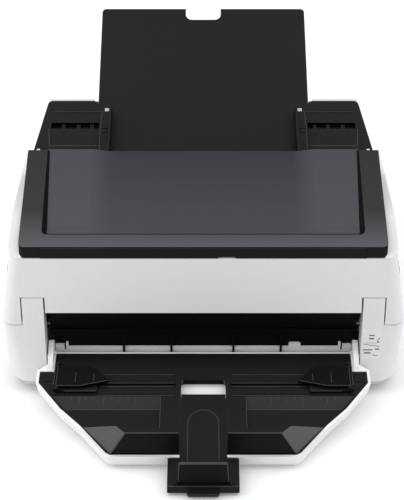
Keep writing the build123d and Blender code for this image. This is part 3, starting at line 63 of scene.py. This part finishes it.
def flank(side):
    """The plane of a drafted flank: x towards the front, y up, z outwards; a mirror image on the right."""
    tilt = math.atan(11.5 / 70)                     # the flanks lean in above the seam
    seam_half, seam_z, panel_y, panel_z = 216, 84, 92, 121
    half = seam_half - (panel_z - seam_z) * math.tan(tilt)
    along = Vector((0, -1, 0))
    up = Vector((-side * math.sin(tilt), 0, math.cos(tilt)))
    outward = Vector((side * math.cos(tilt), 0, math.sin(tilt)))
    turn = Matrix((along, up, outward)).transposed().to_4x4()
    middle = Vector((side * half, panel_y - SHIFT_Y, panel_z)) * MM
    return Matrix.Translation(middle) @ turn @ Matrix.Scale(MM, 4)


# ---------------------------------------------------------------- materials
class Nodes:
    """A small helper that adds nodes to a material and links them."""

    def __init__(self, name):
        self.material = bpy.data.materials.new(name)
        self.material.use_nodes = True
        self.tree = self.material.node_tree
        self.shader = self.tree.nodes["Principled BSDF"]

    def add(self, kind, **inputs):
        """A new node; each input is a value or the socket that feeds it, with _ for a space in its name."""
        node = self.tree.nodes.new(kind)
        for key, value in inputs.items():
            self.feed(node.inputs[key.replace("_", " ")], value)
        return node

    def feed(self, socket, value):
        """Link an output to a socket, or give the socket a plain value."""
        if isinstance(value, bpy.types.NodeSocket):
            self.tree.links.new(value, socket)
        else:
            socket.default_value = value

    def ramp(self, fac, low, high, at=(0.4, 0.6)):
        """A colour ramp between two greys or colours."""
        node = self.add("ShaderNodeValToRGB", Fac=fac)
        node.color_ramp.elements[0].position = at[0]
        node.color_ramp.elements[1].position = at[1]
        node.color_ramp.elements[0].color = low
        node.color_ramp.elements[1].color = high
        return node.outputs["Color"]


def grey(value):
    """An opaque grey."""
    return (value, value, value, 1.0)


def noise(build, scale, detail=3.0, roughness=0.55):
    """Noise in the object's own coordinates, so that it stays on the piece as it moves."""
    place = build.add("ShaderNodeTexCoord").outputs["Object"]
    return build.add("ShaderNodeTexNoise", Vector=place, Scale=scale, Detail=detail,
                     Roughness=roughness).outputs["Fac"]


def edge_mask(build, radius):
    """White near convex and concave edges, where the rounded normal leaves the true one."""
    rounded = build.add("ShaderNodeBevel", Radius=radius).outputs["Normal"]
    true_normal = build.add("ShaderNodeNewGeometry").outputs["Normal"]
    dot = build.add("ShaderNodeVectorMath")
    dot.operation = "DOT_PRODUCT"
    build.feed(dot.inputs[0], rounded)
    build.feed(dot.inputs[1], true_normal)
    return build.ramp(dot.outputs["Value"], grey(1), grey(0), (0.80, 0.985))


def calculate(build, operation, *values):
    """The result of a calculation on one or two values."""
    node = build.add("ShaderNodeMath")
    node.operation = operation
    for socket, value in zip(node.inputs, values):
        build.feed(socket, value)
    return node.outputs["Value"]


def mix(build, fac, a, b):
    """A colour between two: a where the factor is 0, b where it is 1."""
    colour_a, colour_b, colour_out = 6, 7, 2        # the node has sockets of the same name for other types
    node = build.add("ShaderNodeMix")
    node.data_type = "RGBA"
    build.feed(node.inputs["Factor"], fac)
    build.feed(node.inputs[colour_a], a)
    build.feed(node.inputs[colour_b], b)
    return node.outputs[colour_out]


def tinted(colour, strength):
    """A colour made darker or lighter by a factor."""
    return tuple(min(1.0, c * strength) for c in colour[:3]) + (1.0,)


def rough_surface(build, strength, distance, height):
    """Bend the shader's normal by a height."""
    bump = build.add("ShaderNodeBump", Strength=strength, Distance=distance, Height=height)
    build.feed(build.shader.inputs["Normal"], bump.outputs["Normal"])


def share(build, axis, start, stop):
    """How far a spot lies from start to stop along an axis, from 0 to 1, the same on both sides of X."""
    place = build.add("ShaderNodeTexCoord").outputs["Object"]
    value = build.add("ShaderNodeSeparateXYZ", Vector=place).outputs[axis]
    if axis == "X":
        value = calculate(build, "ABSOLUTE", value)
    span = build.add("ShaderNodeMapRange", Value=value)
    span.inputs["From Min"].default_value = start
    span.inputs["From Max"].default_value = stop
    return span.outputs["Result"]


def up_cover(distance):
    """The depth in the shared frame of a spot this many mm up the cover's slope."""
    return (COVER @ Vector((0, distance, 0))).y


def plastic(name, colour, worn_and_highlit, rough, grain=900.0, bump=0.12, wear_and_highlight=0.5, coat=0.0,
            shine=0.5, fades=()):
    """Moulded plastic: a fine spark-eroded grain, faint colour drift, uneven gloss and pale edges that are
    partly wear and partly a painted highlight.

    Each fade is a colour and the axis, start and stop, in metres, over which the finish turns into it;
    the cover's fades are painted light and shade.
    """
    build = Nodes(name)
    drift = noise(build, 70.0, 6.0, 0.7)
    smudge = noise(build, 130.0, 6.0, 0.7)
    base = mix(build, drift, tinted(colour, 0.955), colour)
    for other, axis, start, stop in fades:
        base = mix(build, share(build, axis, start, stop), base, other)
    # Pale edges: partly wear, partly a painted highlight along the edges that catch the light.
    patchy = build.ramp(smudge, grey(0.5 * wear_and_highlight), grey(wear_and_highlight), (0.35, 0.65))
    base = mix(build, calculate(build, "MULTIPLY", edge_mask(build, 0.0007), patchy), base, worn_and_highlit)
    build.feed(build.shader.inputs["Base Color"], base)
    gloss = build.ramp(smudge, grey(rough - 0.02), grey(rough + 0.025), (0.3, 0.7))
    build.feed(build.shader.inputs["Roughness"], gloss)
    rough_surface(build, bump, 0.0003, noise(build, grain, 2.0, 0.7))
    build.shader.inputs["Specular IOR Level"].default_value = shine
    build.shader.inputs["Coat Weight"].default_value = coat
    build.shader.inputs["Coat Roughness"].default_value = 0.35
    return build.material


def metal(name, colour, rough, brushed=(1, 1, 1)):
    """Sheet or turned metal with fine brushing and faint stains."""
    build = Nodes(name)
    place = build.add("ShaderNodeTexCoord").outputs["Object"]
    stretched = build.add("ShaderNodeMapping", Vector=place, Scale=brushed).outputs["Vector"]
    lines = build.add("ShaderNodeTexNoise", Vector=stretched, Scale=700.0, Detail=3.0).outputs["Fac"]
    stain = noise(build, 22.0, 5.0, 0.65)
    build.feed(build.shader.inputs["Base Color"], mix(build, stain, tinted(colour, 0.8), colour))
    build.shader.inputs["Metallic"].default_value = 1.0
    build.feed(build.shader.inputs["Roughness"], build.ramp(stain, grey(rough - 0.07), grey(rough + 0.1)))
    rough_surface(build, 0.15, 0.0002, lines)
    return build.material


def rubber(name, colour, rough=0.75):
    """Soft rubber with a dusty bloom."""
    build = Nodes(name)
    dust = noise(build, 60.0, 6.0, 0.7)
    lighter = tuple(min(1.0, c * 1.7 + 0.01) for c in colour[:3]) + (1.0,)
    bloom = build.ramp(dust, grey(0), grey(0.6))
    build.feed(build.shader.inputs["Base Color"], mix(build, bloom, colour, lighter))
    build.feed(build.shader.inputs["Roughness"], build.ramp(dust, grey(rough - 0.1), grey(rough + 0.15)))
    rough_surface(build, 0.25, 0.0003, noise(build, 1500.0, 2.0, 0.8))
    return build.material


def glass(name):
    """Thin scanner glass with faint smears."""
    build = Nodes(name)
    smear = noise(build, 30.0, 4.0)
    build.shader.inputs["Base Color"].default_value = (0.82, 0.92, 0.89, 1.0)
    build.shader.inputs["Transmission Weight"].default_value = 0.85
    build.shader.inputs["IOR"].default_value = 1.5
    build.feed(build.shader.inputs["Roughness"], build.ramp(smear, grey(0.02), grey(0.10)))
    return build.material


def screen(name):
    """A dark display behind a clear window, with generic bars of segments."""
    build = Nodes(name)
    place = build.add("ShaderNodeTexCoord").outputs["Object"]
    bricks = build.add("ShaderNodeTexBrick", Vector=place, Scale=190.0)
    bricks.inputs["Color1"].default_value = (0.010, 0.016, 0.020, 1)
    bricks.inputs["Color2"].default_value = (0.014, 0.022, 0.026, 1)
    bricks.inputs["Mortar"].default_value = (0.006, 0.009, 0.011, 1)
    build.feed(build.shader.inputs["Base Color"], bricks.outputs["Color"])
    build.feed(build.shader.inputs["Roughness"], build.ramp(noise(build, 45.0), grey(0.10), grey(0.22)))
    return build.material


# Each plastic has its own colour and the paler colour of its edges, partly wear and partly a painted
# highlight. The cover's rim is painted paler towards its front edge, a painted highlight, and the pads on
# both sides of its recess are painted paler than the floor between them: painted light and shade.
EDGE_WEAR_AND_HIGHLIGHT = (0.050, 0.051, 0.055, 1)
RIM_EDGE_WEAR_AND_HIGHLIGHT = (0.060, 0.061, 0.066, 1)
FLOOR_EDGE, PAD_EDGE = 98 * MM, 122 * MM            # from the middle
WHITE = plastic("white_casing", (0.775, 0.775, 0.782, 1), (0.93, 0.93, 0.93, 1), 0.45, bump=0.07, wear_and_highlight=0.35)
# The shell's white is painted paler than the casing's: a painted highlight for the light on the tray's rim.
SHELL = plastic("white_shell", (0.86, 0.862, 0.868, 1), (0.95, 0.95, 0.95, 1), 0.42, bump=0.05, wear_and_highlight=0.3)
# The tray's ramps: a smoother black, painted lighter than the textured black as a painted highlight.
BLACK = plastic("black_ramp", (0.0165, 0.0167, 0.0175, 1), EDGE_WEAR_AND_HIGHLIGHT, 0.33, bump=0.08, wear_and_highlight=0.6, shine=0.30)
# Painted highlight: the rim's black turns paler towards the cover's front edge.
COVER_RIM = plastic("black_cover_rim", (0.0045, 0.0047, 0.0060, 1), RIM_EDGE_WEAR_AND_HIGHLIGHT, 0.33,
                    bump=0.08, wear_and_highlight=0.6, shine=0.30,
                    fades=[((0.058, 0.059, 0.065, 1), "Y", up_cover(46), up_cover(2))])
# Painted light and shade: pads paler than the floor between them, and the recess paler to the front.
COVER_RECESS = plastic("black_cover_recess", (0.0070, 0.0076, 0.0110, 1), EDGE_WEAR_AND_HIGHLIGHT, 0.36, bump=0.08, shine=0.30,
                       fades=[((0.031, 0.032, 0.037, 1), "X", FLOOR_EDGE, PAD_EDGE),
                              ((0.052, 0.054, 0.060, 1), "Y", up_cover(170), up_cover(-110))])
TEXTURED = plastic("black_textured", (0.0042, 0.0042, 0.0043, 1), (0.046, 0.046, 0.048, 1), 0.50,
                   bump=0.14, wear_and_highlight=0.9, shine=0.16)
SATIN_BLACK = plastic("satin_black", (0.0050, 0.0050, 0.0052, 1), (0.034, 0.035, 0.038, 1), 0.46,
                      bump=0.10, wear_and_highlight=0.7, shine=0.14)
# Also a painted shade: the darker black of the cover recess's walls and of the tray's stop faces.
DEEP_BLACK = plastic("inner_black", (0.0028, 0.0028, 0.0029, 1), (0.020, 0.020, 0.022, 1), 0.55,
                     bump=0.10, shine=0.08)
GLOSSY_BLACK = plastic("glossy_black", (0.0075, 0.0072, 0.0072, 1), EDGE_WEAR_AND_HIGHLIGHT, 0.30, bump=0.05, shine=0.95)
# Painted highlights: pale strips along lit edges, crests and marks of the black mouldings.
EDGE = plastic("painted_edge_highlight", (0.046, 0.046, 0.048, 1), (0.085, 0.085, 0.088, 1), 0.40, bump=0.08, shine=0.3)
GREY = plastic("grey_plastic", (0.30, 0.31, 0.33, 1), (0.52, 0.53, 0.55, 1), 0.42)
LIGHT_GREY = plastic("light_grey_plastic", (0.52, 0.53, 0.55, 1), (0.72, 0.73, 0.74, 1), 0.40)
NATURAL = plastic("natural_plastic", (0.90, 0.90, 0.89, 1), (0.93, 0.93, 0.91, 1), 0.38, bump=0.06)
GREEN = plastic("button_green", (0.11, 0.30, 0.17, 1), (0.30, 0.50, 0.36, 1), 0.33, coat=0.3)
BOARD = plastic("circuit_board", (0.012, 0.105, 0.050, 1), (0.10, 0.25, 0.16, 1), 0.30, coat=0.5)
PAPER = plastic("label_film", (0.80, 0.81, 0.80, 1), (0.85, 0.85, 0.85, 1), 0.30, bump=0.02)
INK = plastic("label_ink", (0.10, 0.11, 0.12, 1), (0.14, 0.14, 0.15, 1), 0.35, bump=0.02)
MARK = plastic("pale_marking", (0.42, 0.43, 0.45, 1), (0.50, 0.50, 0.52, 1), 0.45, bump=0.03)
RUBBER = rubber("rubber_black", (0.018, 0.018, 0.019, 1))
ROLLER = rubber("rubber_roller", (0.050, 0.050, 0.052, 1), 0.65)
STEEL = metal("turned_steel", (0.60, 0.61, 0.63, 1), 0.28, (0.02, 1, 1))
ZINC = metal("zinc_sheet", (0.56, 0.57, 0.58, 1), 0.38, (1, 0.05, 1))
GLASS = glass("scan_glass")
SCREEN = screen("display_window")

LOOKS = {
    WHITE: "lower_casing rear_casing upper_casing",
    SHELL: "stacker_shell",
    TEXTURED: "chute chute_extension hopper_guide_left hopper_guide_right",
    DEEP_BLACK: "lower_guide upper_guide stopper_flap stacker_guide_left stacker_guide_right",
    SATIN_BLACK: "lower_scan_unit upper_scan_unit output_extension stacker_carrier_left "
                 "stacker_carrier_right pinion_bracket power_inlet switch_frame power_switch",
    GREY: "feed_pinch_roller eject_pinch_roller menu_button_left menu_button_right panel_bezels",
    NATURAL: "exit_strip pick_pulley feed_pulley eject_pulley motor_pulley guide_pinion usb_port",
    GREEN: "scan_button_left scan_button_right",
    RUBBER: "rubber_feet drive_belt",
    ROLLER: "pick_tyres feed_tyres eject_tyres brake_tyres",
    STEEL: "hinge_pins pick_shaft feed_shaft eject_shaft brake_shaft stacker_pins drive_motor",
    ZINC: "base_pan side_frame_left side_frame_right power_supply",
    GLASS: "lower_glass upper_glass",
    SCREEN: "panel_displays",
    BOARD: "main_board",
}


def paint(name, looks, pick=None):
    """Give a CAD node its finishes; pick returns the finish of one face."""
    mesh = nodes[name].data
    mesh.materials.clear()
    for look in looks:
        mesh.materials.append(look)
    for face in mesh.polygons:
        face.material_index = looks.index(pick(face)) if pick else 0


def cover_look(face):
    """The finish of one face of the black cover, from where it lies on the cover's slope."""
    spot = COVER.inverted() @ face.center
    steep = face.normal.dot(COVER.to_3x3().col[2].normalized()) < 0.9
    if face.normal.y < -0.8:
        return SATIN_BLACK                          # the upright front band
    if spot.z > -0.4:
        return COVER_RIM                            # around the recess
    # Painted shade: the recess's walls get a darker black than its floor.
    return DEEP_BLACK if steep else COVER_RECESS    # the recess's walls, and its floor and pads


def tray_look(face):
    """The tray's ramps and gussets are smoother than its floor. Its ramps are painted lighter, a painted
    highlight, and the faces of its stops darker, a painted shade.
    """
    # Painted shade: faces of the stops that face the front get a darker black.
    if face.normal.y < -0.95:
        return DEEP_BLACK
    # Painted highlight: the ramps sloping to the front get a lighter black.
    if face.normal.y < -0.45 and 0.80 < face.normal.z < 0.90:
        return BLACK
    if abs(face.normal.x) > 0.5 and face.normal.y < -0.5:
        return GLOSSY_BLACK
    return TEXTURED


for look, names in LOOKS.items():
    for name in names.split():
        paint(name, [look])
for name in ("top_cover", "release_handle"):
    paint(name, [COVER_RIM, SATIN_BLACK, DEEP_BLACK, COVER_RECESS], cover_look)
paint("stacker_tray", [TEXTURED, BLACK, GLOSSY_BLACK, DEEP_BLACK], tray_look)

# Soften the edges of the moulded pieces, by a width in mm.
SOFT_EDGES = {
    1.0: "top_cover",
    0.9: "lower_casing upper_casing rear_casing",
    0.7: "stacker_shell chute_extension",
    0.6: "chute hopper_guide_left hopper_guide_right output_extension rubber_feet",
    0.5: "release_handle stacker_tray stacker_guide_left stacker_guide_right",
    0.4: "stopper_flap stacker_carrier_left stacker_carrier_right lower_guide upper_guide "
         "panel_bezels power_switch power_inlet",
    0.3: "exit_strip",
}


def soften(piece, width):
    """A bevel on every edge sharper than 32 degrees."""
    bevel = piece.modifiers.new("soft_edges", "BEVEL")
    bevel.width = width * MM
    bevel.segments = 2
    bevel.limit_method = "ANGLE"
    bevel.angle_limit = math.radians(32)
    bevel.use_clamp_overlap = True
    bevel.harden_normals = True


for width, names in SOFT_EDGES.items():
    for name in names.split():
        soften(nodes[name], width)

# ---------------------------------------------------------------- small pieces, in mm on the planes above
SIDES = ((-1, "left"), (1, "right"))


def pieces(name, body, look, plane, outlines, low, high, soft=0.12):
    """One mesh of closed outlines in a plane, each a slab from one height off the plane to another."""
    build = bmesh.new()
    for outline in outlines:
        foot = [build.verts.new(plane @ Vector((x, y, low))) for x, y in outline]
        head = [build.verts.new(plane @ Vector((x, y, high))) for x, y in outline]
        build.faces.new(foot)
        build.faces.new(head)
        for i, corner in enumerate(foot):
            after = (i + 1) % len(foot)
            build.faces.new((corner, foot[after], head[after], head[i]))
    bmesh.ops.recalc_face_normals(build, faces=build.faces)
    mesh = bpy.data.meshes.new(name)
    build.to_mesh(mesh)
    build.free()
    mesh.materials.append(look)
    piece = bpy.data.objects.new(name, mesh)
    scene.collection.objects.link(piece)
    soften(piece, soft)
    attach(piece, body)
    return piece


def block(x, y, wide, tall):
    """A rectangle about a middle point."""
    return [(x - wide / 2, y - tall / 2), (x + wide / 2, y - tall / 2),
            (x + wide / 2, y + tall / 2), (x - wide / 2, y + tall / 2)]


def trail(points, width):
    """A band of one width along a line of points, with mitred corners."""
    left, right = [], []
    for i, point in enumerate(points):
        here = Vector(point)
        into = (here - Vector(points[i - 1])).normalized() if i else None
        out = (Vector(points[i + 1]) - here).normalized() if i + 1 < len(points) else None
        into, out = into or out, out or into
        across = (Vector((-into.y, into.x)) + Vector((-out.y, out.x))).normalized()
        reach = width / 2 / max(0.3, across.dot(Vector((-out.y, out.x))))
        left.append(tuple(here + across * reach))
        right.append(tuple(here - across * reach))
    return left + right[::-1]


def arc(x, y, radius, start, stop, steps=24):
    """Points along an arc about a middle point; the angles are in degrees."""
    turns = [math.radians(start + (stop - start) * i / steps) for i in range(steps + 1)]
    return [(x + radius * math.cos(turn), y + radius * math.sin(turn)) for turn in turns]


def ring(x, y, radius, width):
    """A ring as two half rings, because a slab has no hole."""
    return [trail(arc(x, y, radius, start, start + 180), width) for start in (0, 180)]


def both_sides(outlines):
    """The outlines and their mirror images."""
    return [[(side * x, y) for x, y in outline] for side in (-1, 1) for outline in outlines]


def on_side(side, outlines):
    """The outlines as they are for the right side, mirrored for the left."""
    return [[(side * x, y) for x, y in outline] for outline in outlines]


def edge_lines(name, body, plane, outlines, low=-0.3, high=0.2, soft=0.05):
    """Pale lines, painted highlights for lit edges, that stand a little proud of a black moulding."""
    pieces(name, body, EDGE, plane, outlines, low, high, soft)


# ---------------------------------------------------------------- output tray
def upright(place):
    """A plane that stands upright at a place in metres: x across, y up, z towards the front."""
    return Matrix.Translation(place) @ Matrix.Rotation(math.pi / 2, 4, "X") @ Matrix.Scale(MM, 4)


def tray_lines():
    """Painted highlights along the edges of the tray's rails and sunk floors, and on its size marks
    without any figures.
    """
    ramp_v, ramp_drop, ramp_run = -57.0, 5, 14
    turn = math.radians(TRAY_TILT) + math.atan(ramp_drop / ramp_run)
    ramp = (Matrix.Translation(STACKER @ Vector((0, ramp_v, 0)))
            @ Matrix.Rotation(turn, 4, "X") @ Matrix.Scale(MM, 4))
    rails = ((-28.6, 31, 112), (-39.9, 31, 101), (-44.1, 31, 111), (-55.8, 31, 112))
    edge_lines("tray_rail_edges", "stacker", STACKER,
               both_sides([block((inner + outer) / 2, v, outer - inner, 0.55) for v, inner, outer in rails]),
               high=0.22, soft=0.12)
    marks = ((72, 5.5), (79, 3), (88, 5.5), (97, 3), (105, 8), (117, 3), (124, 3), (131, 5.5), (139, 3))
    edge_lines("tray_size_marks", "stacker", ramp,
               both_sides([block(x, -1 - tall / 2, 0.6, tall) for x, tall in marks]), high=0.15)
    edge_lines("tray_ramp_edges", "stacker", ramp, both_sides([block(95, -14.4, 98, 0.5)]), high=0.15)
    edge_lines("tray_floor_edges", "stacker", STACKER, both_sides([trail([(45.2, -57.5), (45.2, -97)], 0.5)]))


def stop_lines():
    """Painted highlights along the crests of the tray's fixed stops and of the folding stopper between them.
    """
    stop_y, flap_v, flap_rise = -107, -161, 2.6
    crest = block(51.2, 50.35, 53, 0.7)
    outer_end = [(77.4, 50.4), (78.8, 50.4), (96.0, 19.4), (94.2, 19.4)]
    edge_lines("stop_crests", "stacker", upright((0, (stop_y - SHIFT_Y) * MM, 0)),
               both_sides([crest, outer_end]), low=-0.6, high=0.3, soft=0.1)
    flap_side = [(24.0, 25.6), (23.4, 25.6), (24.8, -0.5), (25.4, -0.5)]
    edge_lines("stopper_crest", "stopper_flap", upright(STACKER @ Vector((0, flap_v, flap_rise))),
               [block(0, 25.9, 47.6, 0.7), *both_sides([flap_side])], low=-1.35, high=1.35, soft=0.15)


def extension_lines():
    """Painted highlights along the lip of the output extension and the arch pressed into its tongue."""
    edge_lines("extension_lip_edge", "output_extension", STACKER, [block(0, -165.2, 71, 0.6)],
               high=0.25, soft=0.1)
    arch_half, arch_v, foot_v = 16, -90, -141.5
    arch = [(arch_half, foot_v), *arc(0, arch_v, arch_half, 0, 180, 36), (-arch_half, foot_v)]
    edge_lines("extension_arch", "output_extension", STACKER, [trail(arch, 0.6)],
               low=-1.3, high=-0.3, soft=0.1)


def side_guide_lines(side, name):
    """Painted highlights along the edges and ribs of a folded side guide,
    and along the hook and lip of its sliding carrier.
    """
    guide_top, carrier_top = 7.2, 2.8               # off the tray
    guide, carrier = "stacker_guide_" + name, "stacker_carrier_" + name
    rim = trail([(156, -21.4), (156, -48.2), (131, -48.2), (101.5, -41.4)], 0.6)
    edge_lines("side_guide_edges_" + name, guide, STACKER, on_side(side, [rim]),
               low=guide_top - 0.2, high=guide_top + 0.2, soft=0.1)
    ribs = [block(136, -37.5, 0.5, 13), block(116.5, -37.5, 0.5, 9)]
    edge_lines("side_guide_ribs_" + name, guide, STACKER, on_side(side, ribs),
               low=guide_top - 0.2, high=guide_top + 0.15)
    hook = trail([(156.8, -18.6), (158.9, -21.5), (158.9, -46.5)], 0.8)
    edge_lines("carrier_hook_" + name, carrier, STACKER, on_side(side, [hook]),
               low=carrier_top, high=carrier_top + 2.8, soft=0.2)
    edge_lines("carrier_lip_" + name, carrier, STACKER, on_side(side, [block(130, -52.2, 33, 0.6)]),
               low=carrier_top, high=carrier_top + 0.4, soft=0.1)


# ---------------------------------------------------------------- hopper
def hopper_guide_details(side, name):
    """The pale tip of a hopper guide, and painted highlights along its edges."""
    guide, guide_top = "hopper_guide_" + name, 9.2
    pieces("guide_tip_" + name, guide, LIGHT_GREY, HOPPER,
           on_side(side, [block(114.2, 51.4, 7.4, 4.2)]), guide_top, guide_top + 0.7, 0.3)
    inner = block(110.5, 20, 0.6, 58)
    outer = trail([(120.8, 50.6), (122.7, 26), (122.7, -20)], 0.6)
    edge_lines("guide_rim_" + name, guide, HOPPER, on_side(side, [inner, outer]),
               low=guide_top, high=guide_top + 0.5, soft=0.15)


def chute_lines():
    """Painted highlights along the edge of the plate under each slot, the chute's upper edge and a line
    between the two.
    """
    under_slot = trail([(185, 31), (183.3, 7.5), (125, 7.5)], 0.6)
    upper_edge = trail([(186.6, 71.2), (131.5, 71.2)], 0.6)
    between = trail([(180, 54.4), (124, 54.4)], 0.45)
    edge_lines("chute_edges", "base", HOPPER, both_sides([under_slot, upper_edge, between]), high=0.18)


# ---------------------------------------------------------------- sticker and operator panels
def sticker():
    """A film on the right front pillar, with plain shapes for its words and a generic pictogram."""
    film = 0.1
    pieces("sticker_film", "base", PAPER, FRONT, [block(181, 52.5, 21, 35)], -0.1, film, 0.04)
    upper_words = [block(181, 63.4, 5.5, 1.3), block(180.7, 59.5, 5.4, 1.7)]
    sheet = [trail([(171.8, 53.2), (178, 51.8), (189.6, 50.3)], 0.7),
             trail([(174.5, 54.4), (187.4, 54.2)], 0.4)]
    arm = [trail([(189.4, 60.6), (187.4, 58), (187.2, 54.8)], 0.8), block(188.6, 55.4, 2.0, 1.0)]
    lower_words = [block(177.2, 46, 10.2, 1.4), block(176.9, 42.3, 7.2, 1.7), block(187.2, 46.9, 5.0, 1.6)]
    hook = [trail([(183, 40.4), (184.6, 39), (188, 39)], 0.8)]
    pieces("sticker_ink", "base", INK, FRONT, [*upper_words, *sheet, *arm, *lower_words, *hook],
           film - 0.05, film + 0.06, 0.02)


def panel_details(side, name):
    """Bars on a panel's display, a ring around its scan button and a generic arrow on the button."""
    face = flank(side)
    display_top, bezel_top, button_top = 1.3, 1.55, 2.35
    bars = [block(-13, 7.5, 22, 1.2), block(-19, 3, 8, 3.4), block(-8.5, 3, 7, 3.4), block(-13, -2, 22, 0.8)]
    pieces("panel_segments_" + name, "upper_unit", MARK, face, bars,
           display_top, display_top + 0.22, 0.03)
    marks = [*ring(22, 0, 8.6, 0.6), block(3, -13.8, 4, 0.7), block(-20, -11, 9, 0.7)]
    pieces("panel_marks_" + name, "upper_unit", MARK, face, marks,
           bezel_top, bezel_top + 0.2, 0.03)
    arrow = [(20.2, -2.4), (24.6, 0), (20.2, 2.4)]
    pieces("scan_mark_" + name, "scan_button_" + name, WHITE, face, [arrow],
           button_top, button_top + 0.15, 0.03)


tray_lines()
stop_lines()
extension_lines()
for side, name in SIDES:
    side_guide_lines(side, name)
for side, name in SIDES:
    hopper_guide_details(side, name)
chute_lines()
sticker()
for side, name in SIDES:
    panel_details(side, name)


# ---------------------------------------------------------------- floor, light and camera
def floor():
    """A wide pale floor that glows a little, so that it stays nearly white around the machine."""
    build = Nodes("pale_floor")
    build.feed(build.shader.inputs["Base Color"],
               mix(build, noise(build, 3.0), (0.93, 0.935, 0.94, 1), (0.96, 0.963, 0.966, 1)))
    build.shader.inputs["Emission Color"].default_value = (1.0, 1.0, 1.0, 1.0)
    build.shader.inputs["Emission Strength"].default_value = 0.07
    build.shader.inputs["Roughness"].default_value = 0.75
    mesh = bpy.data.meshes.new("floor")
    half = 9.0
    corners = [(-half, -half, 0), (half, -half, 0), (half, half, 0), (-half, half, 0)]
    mesh.from_pydata(corners, [], [(0, 1, 2, 3)])
    mesh.materials.append(build.material)
    ground = bpy.data.objects.new("floor", mesh)
    scene.collection.objects.link(ground)


def area_light(name, place, target, size, power):
    """A large soft lamp at place that looks at target."""
    data = bpy.data.lights.new(name, "AREA")
    data.shape = "RECTANGLE"
    data.size, data.size_y = size
    data.energy = power
    lamp = bpy.data.objects.new(name, data)
    lamp.location = place
    lamp.rotation_euler = (Vector(target) - Vector(place)).to_track_quat("-Z", "Y").to_euler()
    scene.collection.objects.link(lamp)


def camera():
    """The lens looks along +Y and down at the machine."""
    eye_y, eye_z, look_down = -871.5, 854.5, 37
    data = bpy.data.cameras.new("camera")
    data.sensor_width = 36.0
    data.lens = 79.2
    data.shift_x = -0.0026
    data.clip_start, data.clip_end = 0.01, 50
    eye = bpy.data.objects.new("camera", data)
    eye.location = (0, (eye_y - SHIFT_Y) * MM, eye_z * MM)
    eye.rotation_euler = (math.radians(90 - look_down), 0, 0)
    scene.collection.objects.link(eye)
    scene.camera = eye


def studio():
    """Two large softboxes, a faint lamp from above, a low fill from the left and a pale world."""
    for side, name, power in ((-1, "left", 28), (1, "right", 25)):
        area_light("softbox_" + name, (side * 1.65, 0.1, 2.1), (0, 0.05, 0.1), (1.5, 3.2), power)
    area_light("crown", (0, 0.20, 1.95), (0, 0.05, 0.15), (0.9, 0.4), 1.9)
    area_light("left_fill", (-1.9, -0.7, 1.0), (0, 0, 0.1), (1.4, 1.0), 5)
    world = bpy.data.worlds.new("studio")
    world.use_nodes = True
    background = world.node_tree.nodes["Background"]
    background.inputs["Color"].default_value = (0.97, 0.98, 1.0, 1.0)
    background.inputs["Strength"].default_value = 0.66
    scene.world = world
    scene.view_settings.view_transform = "Standard"


floor()
studio()
camera()
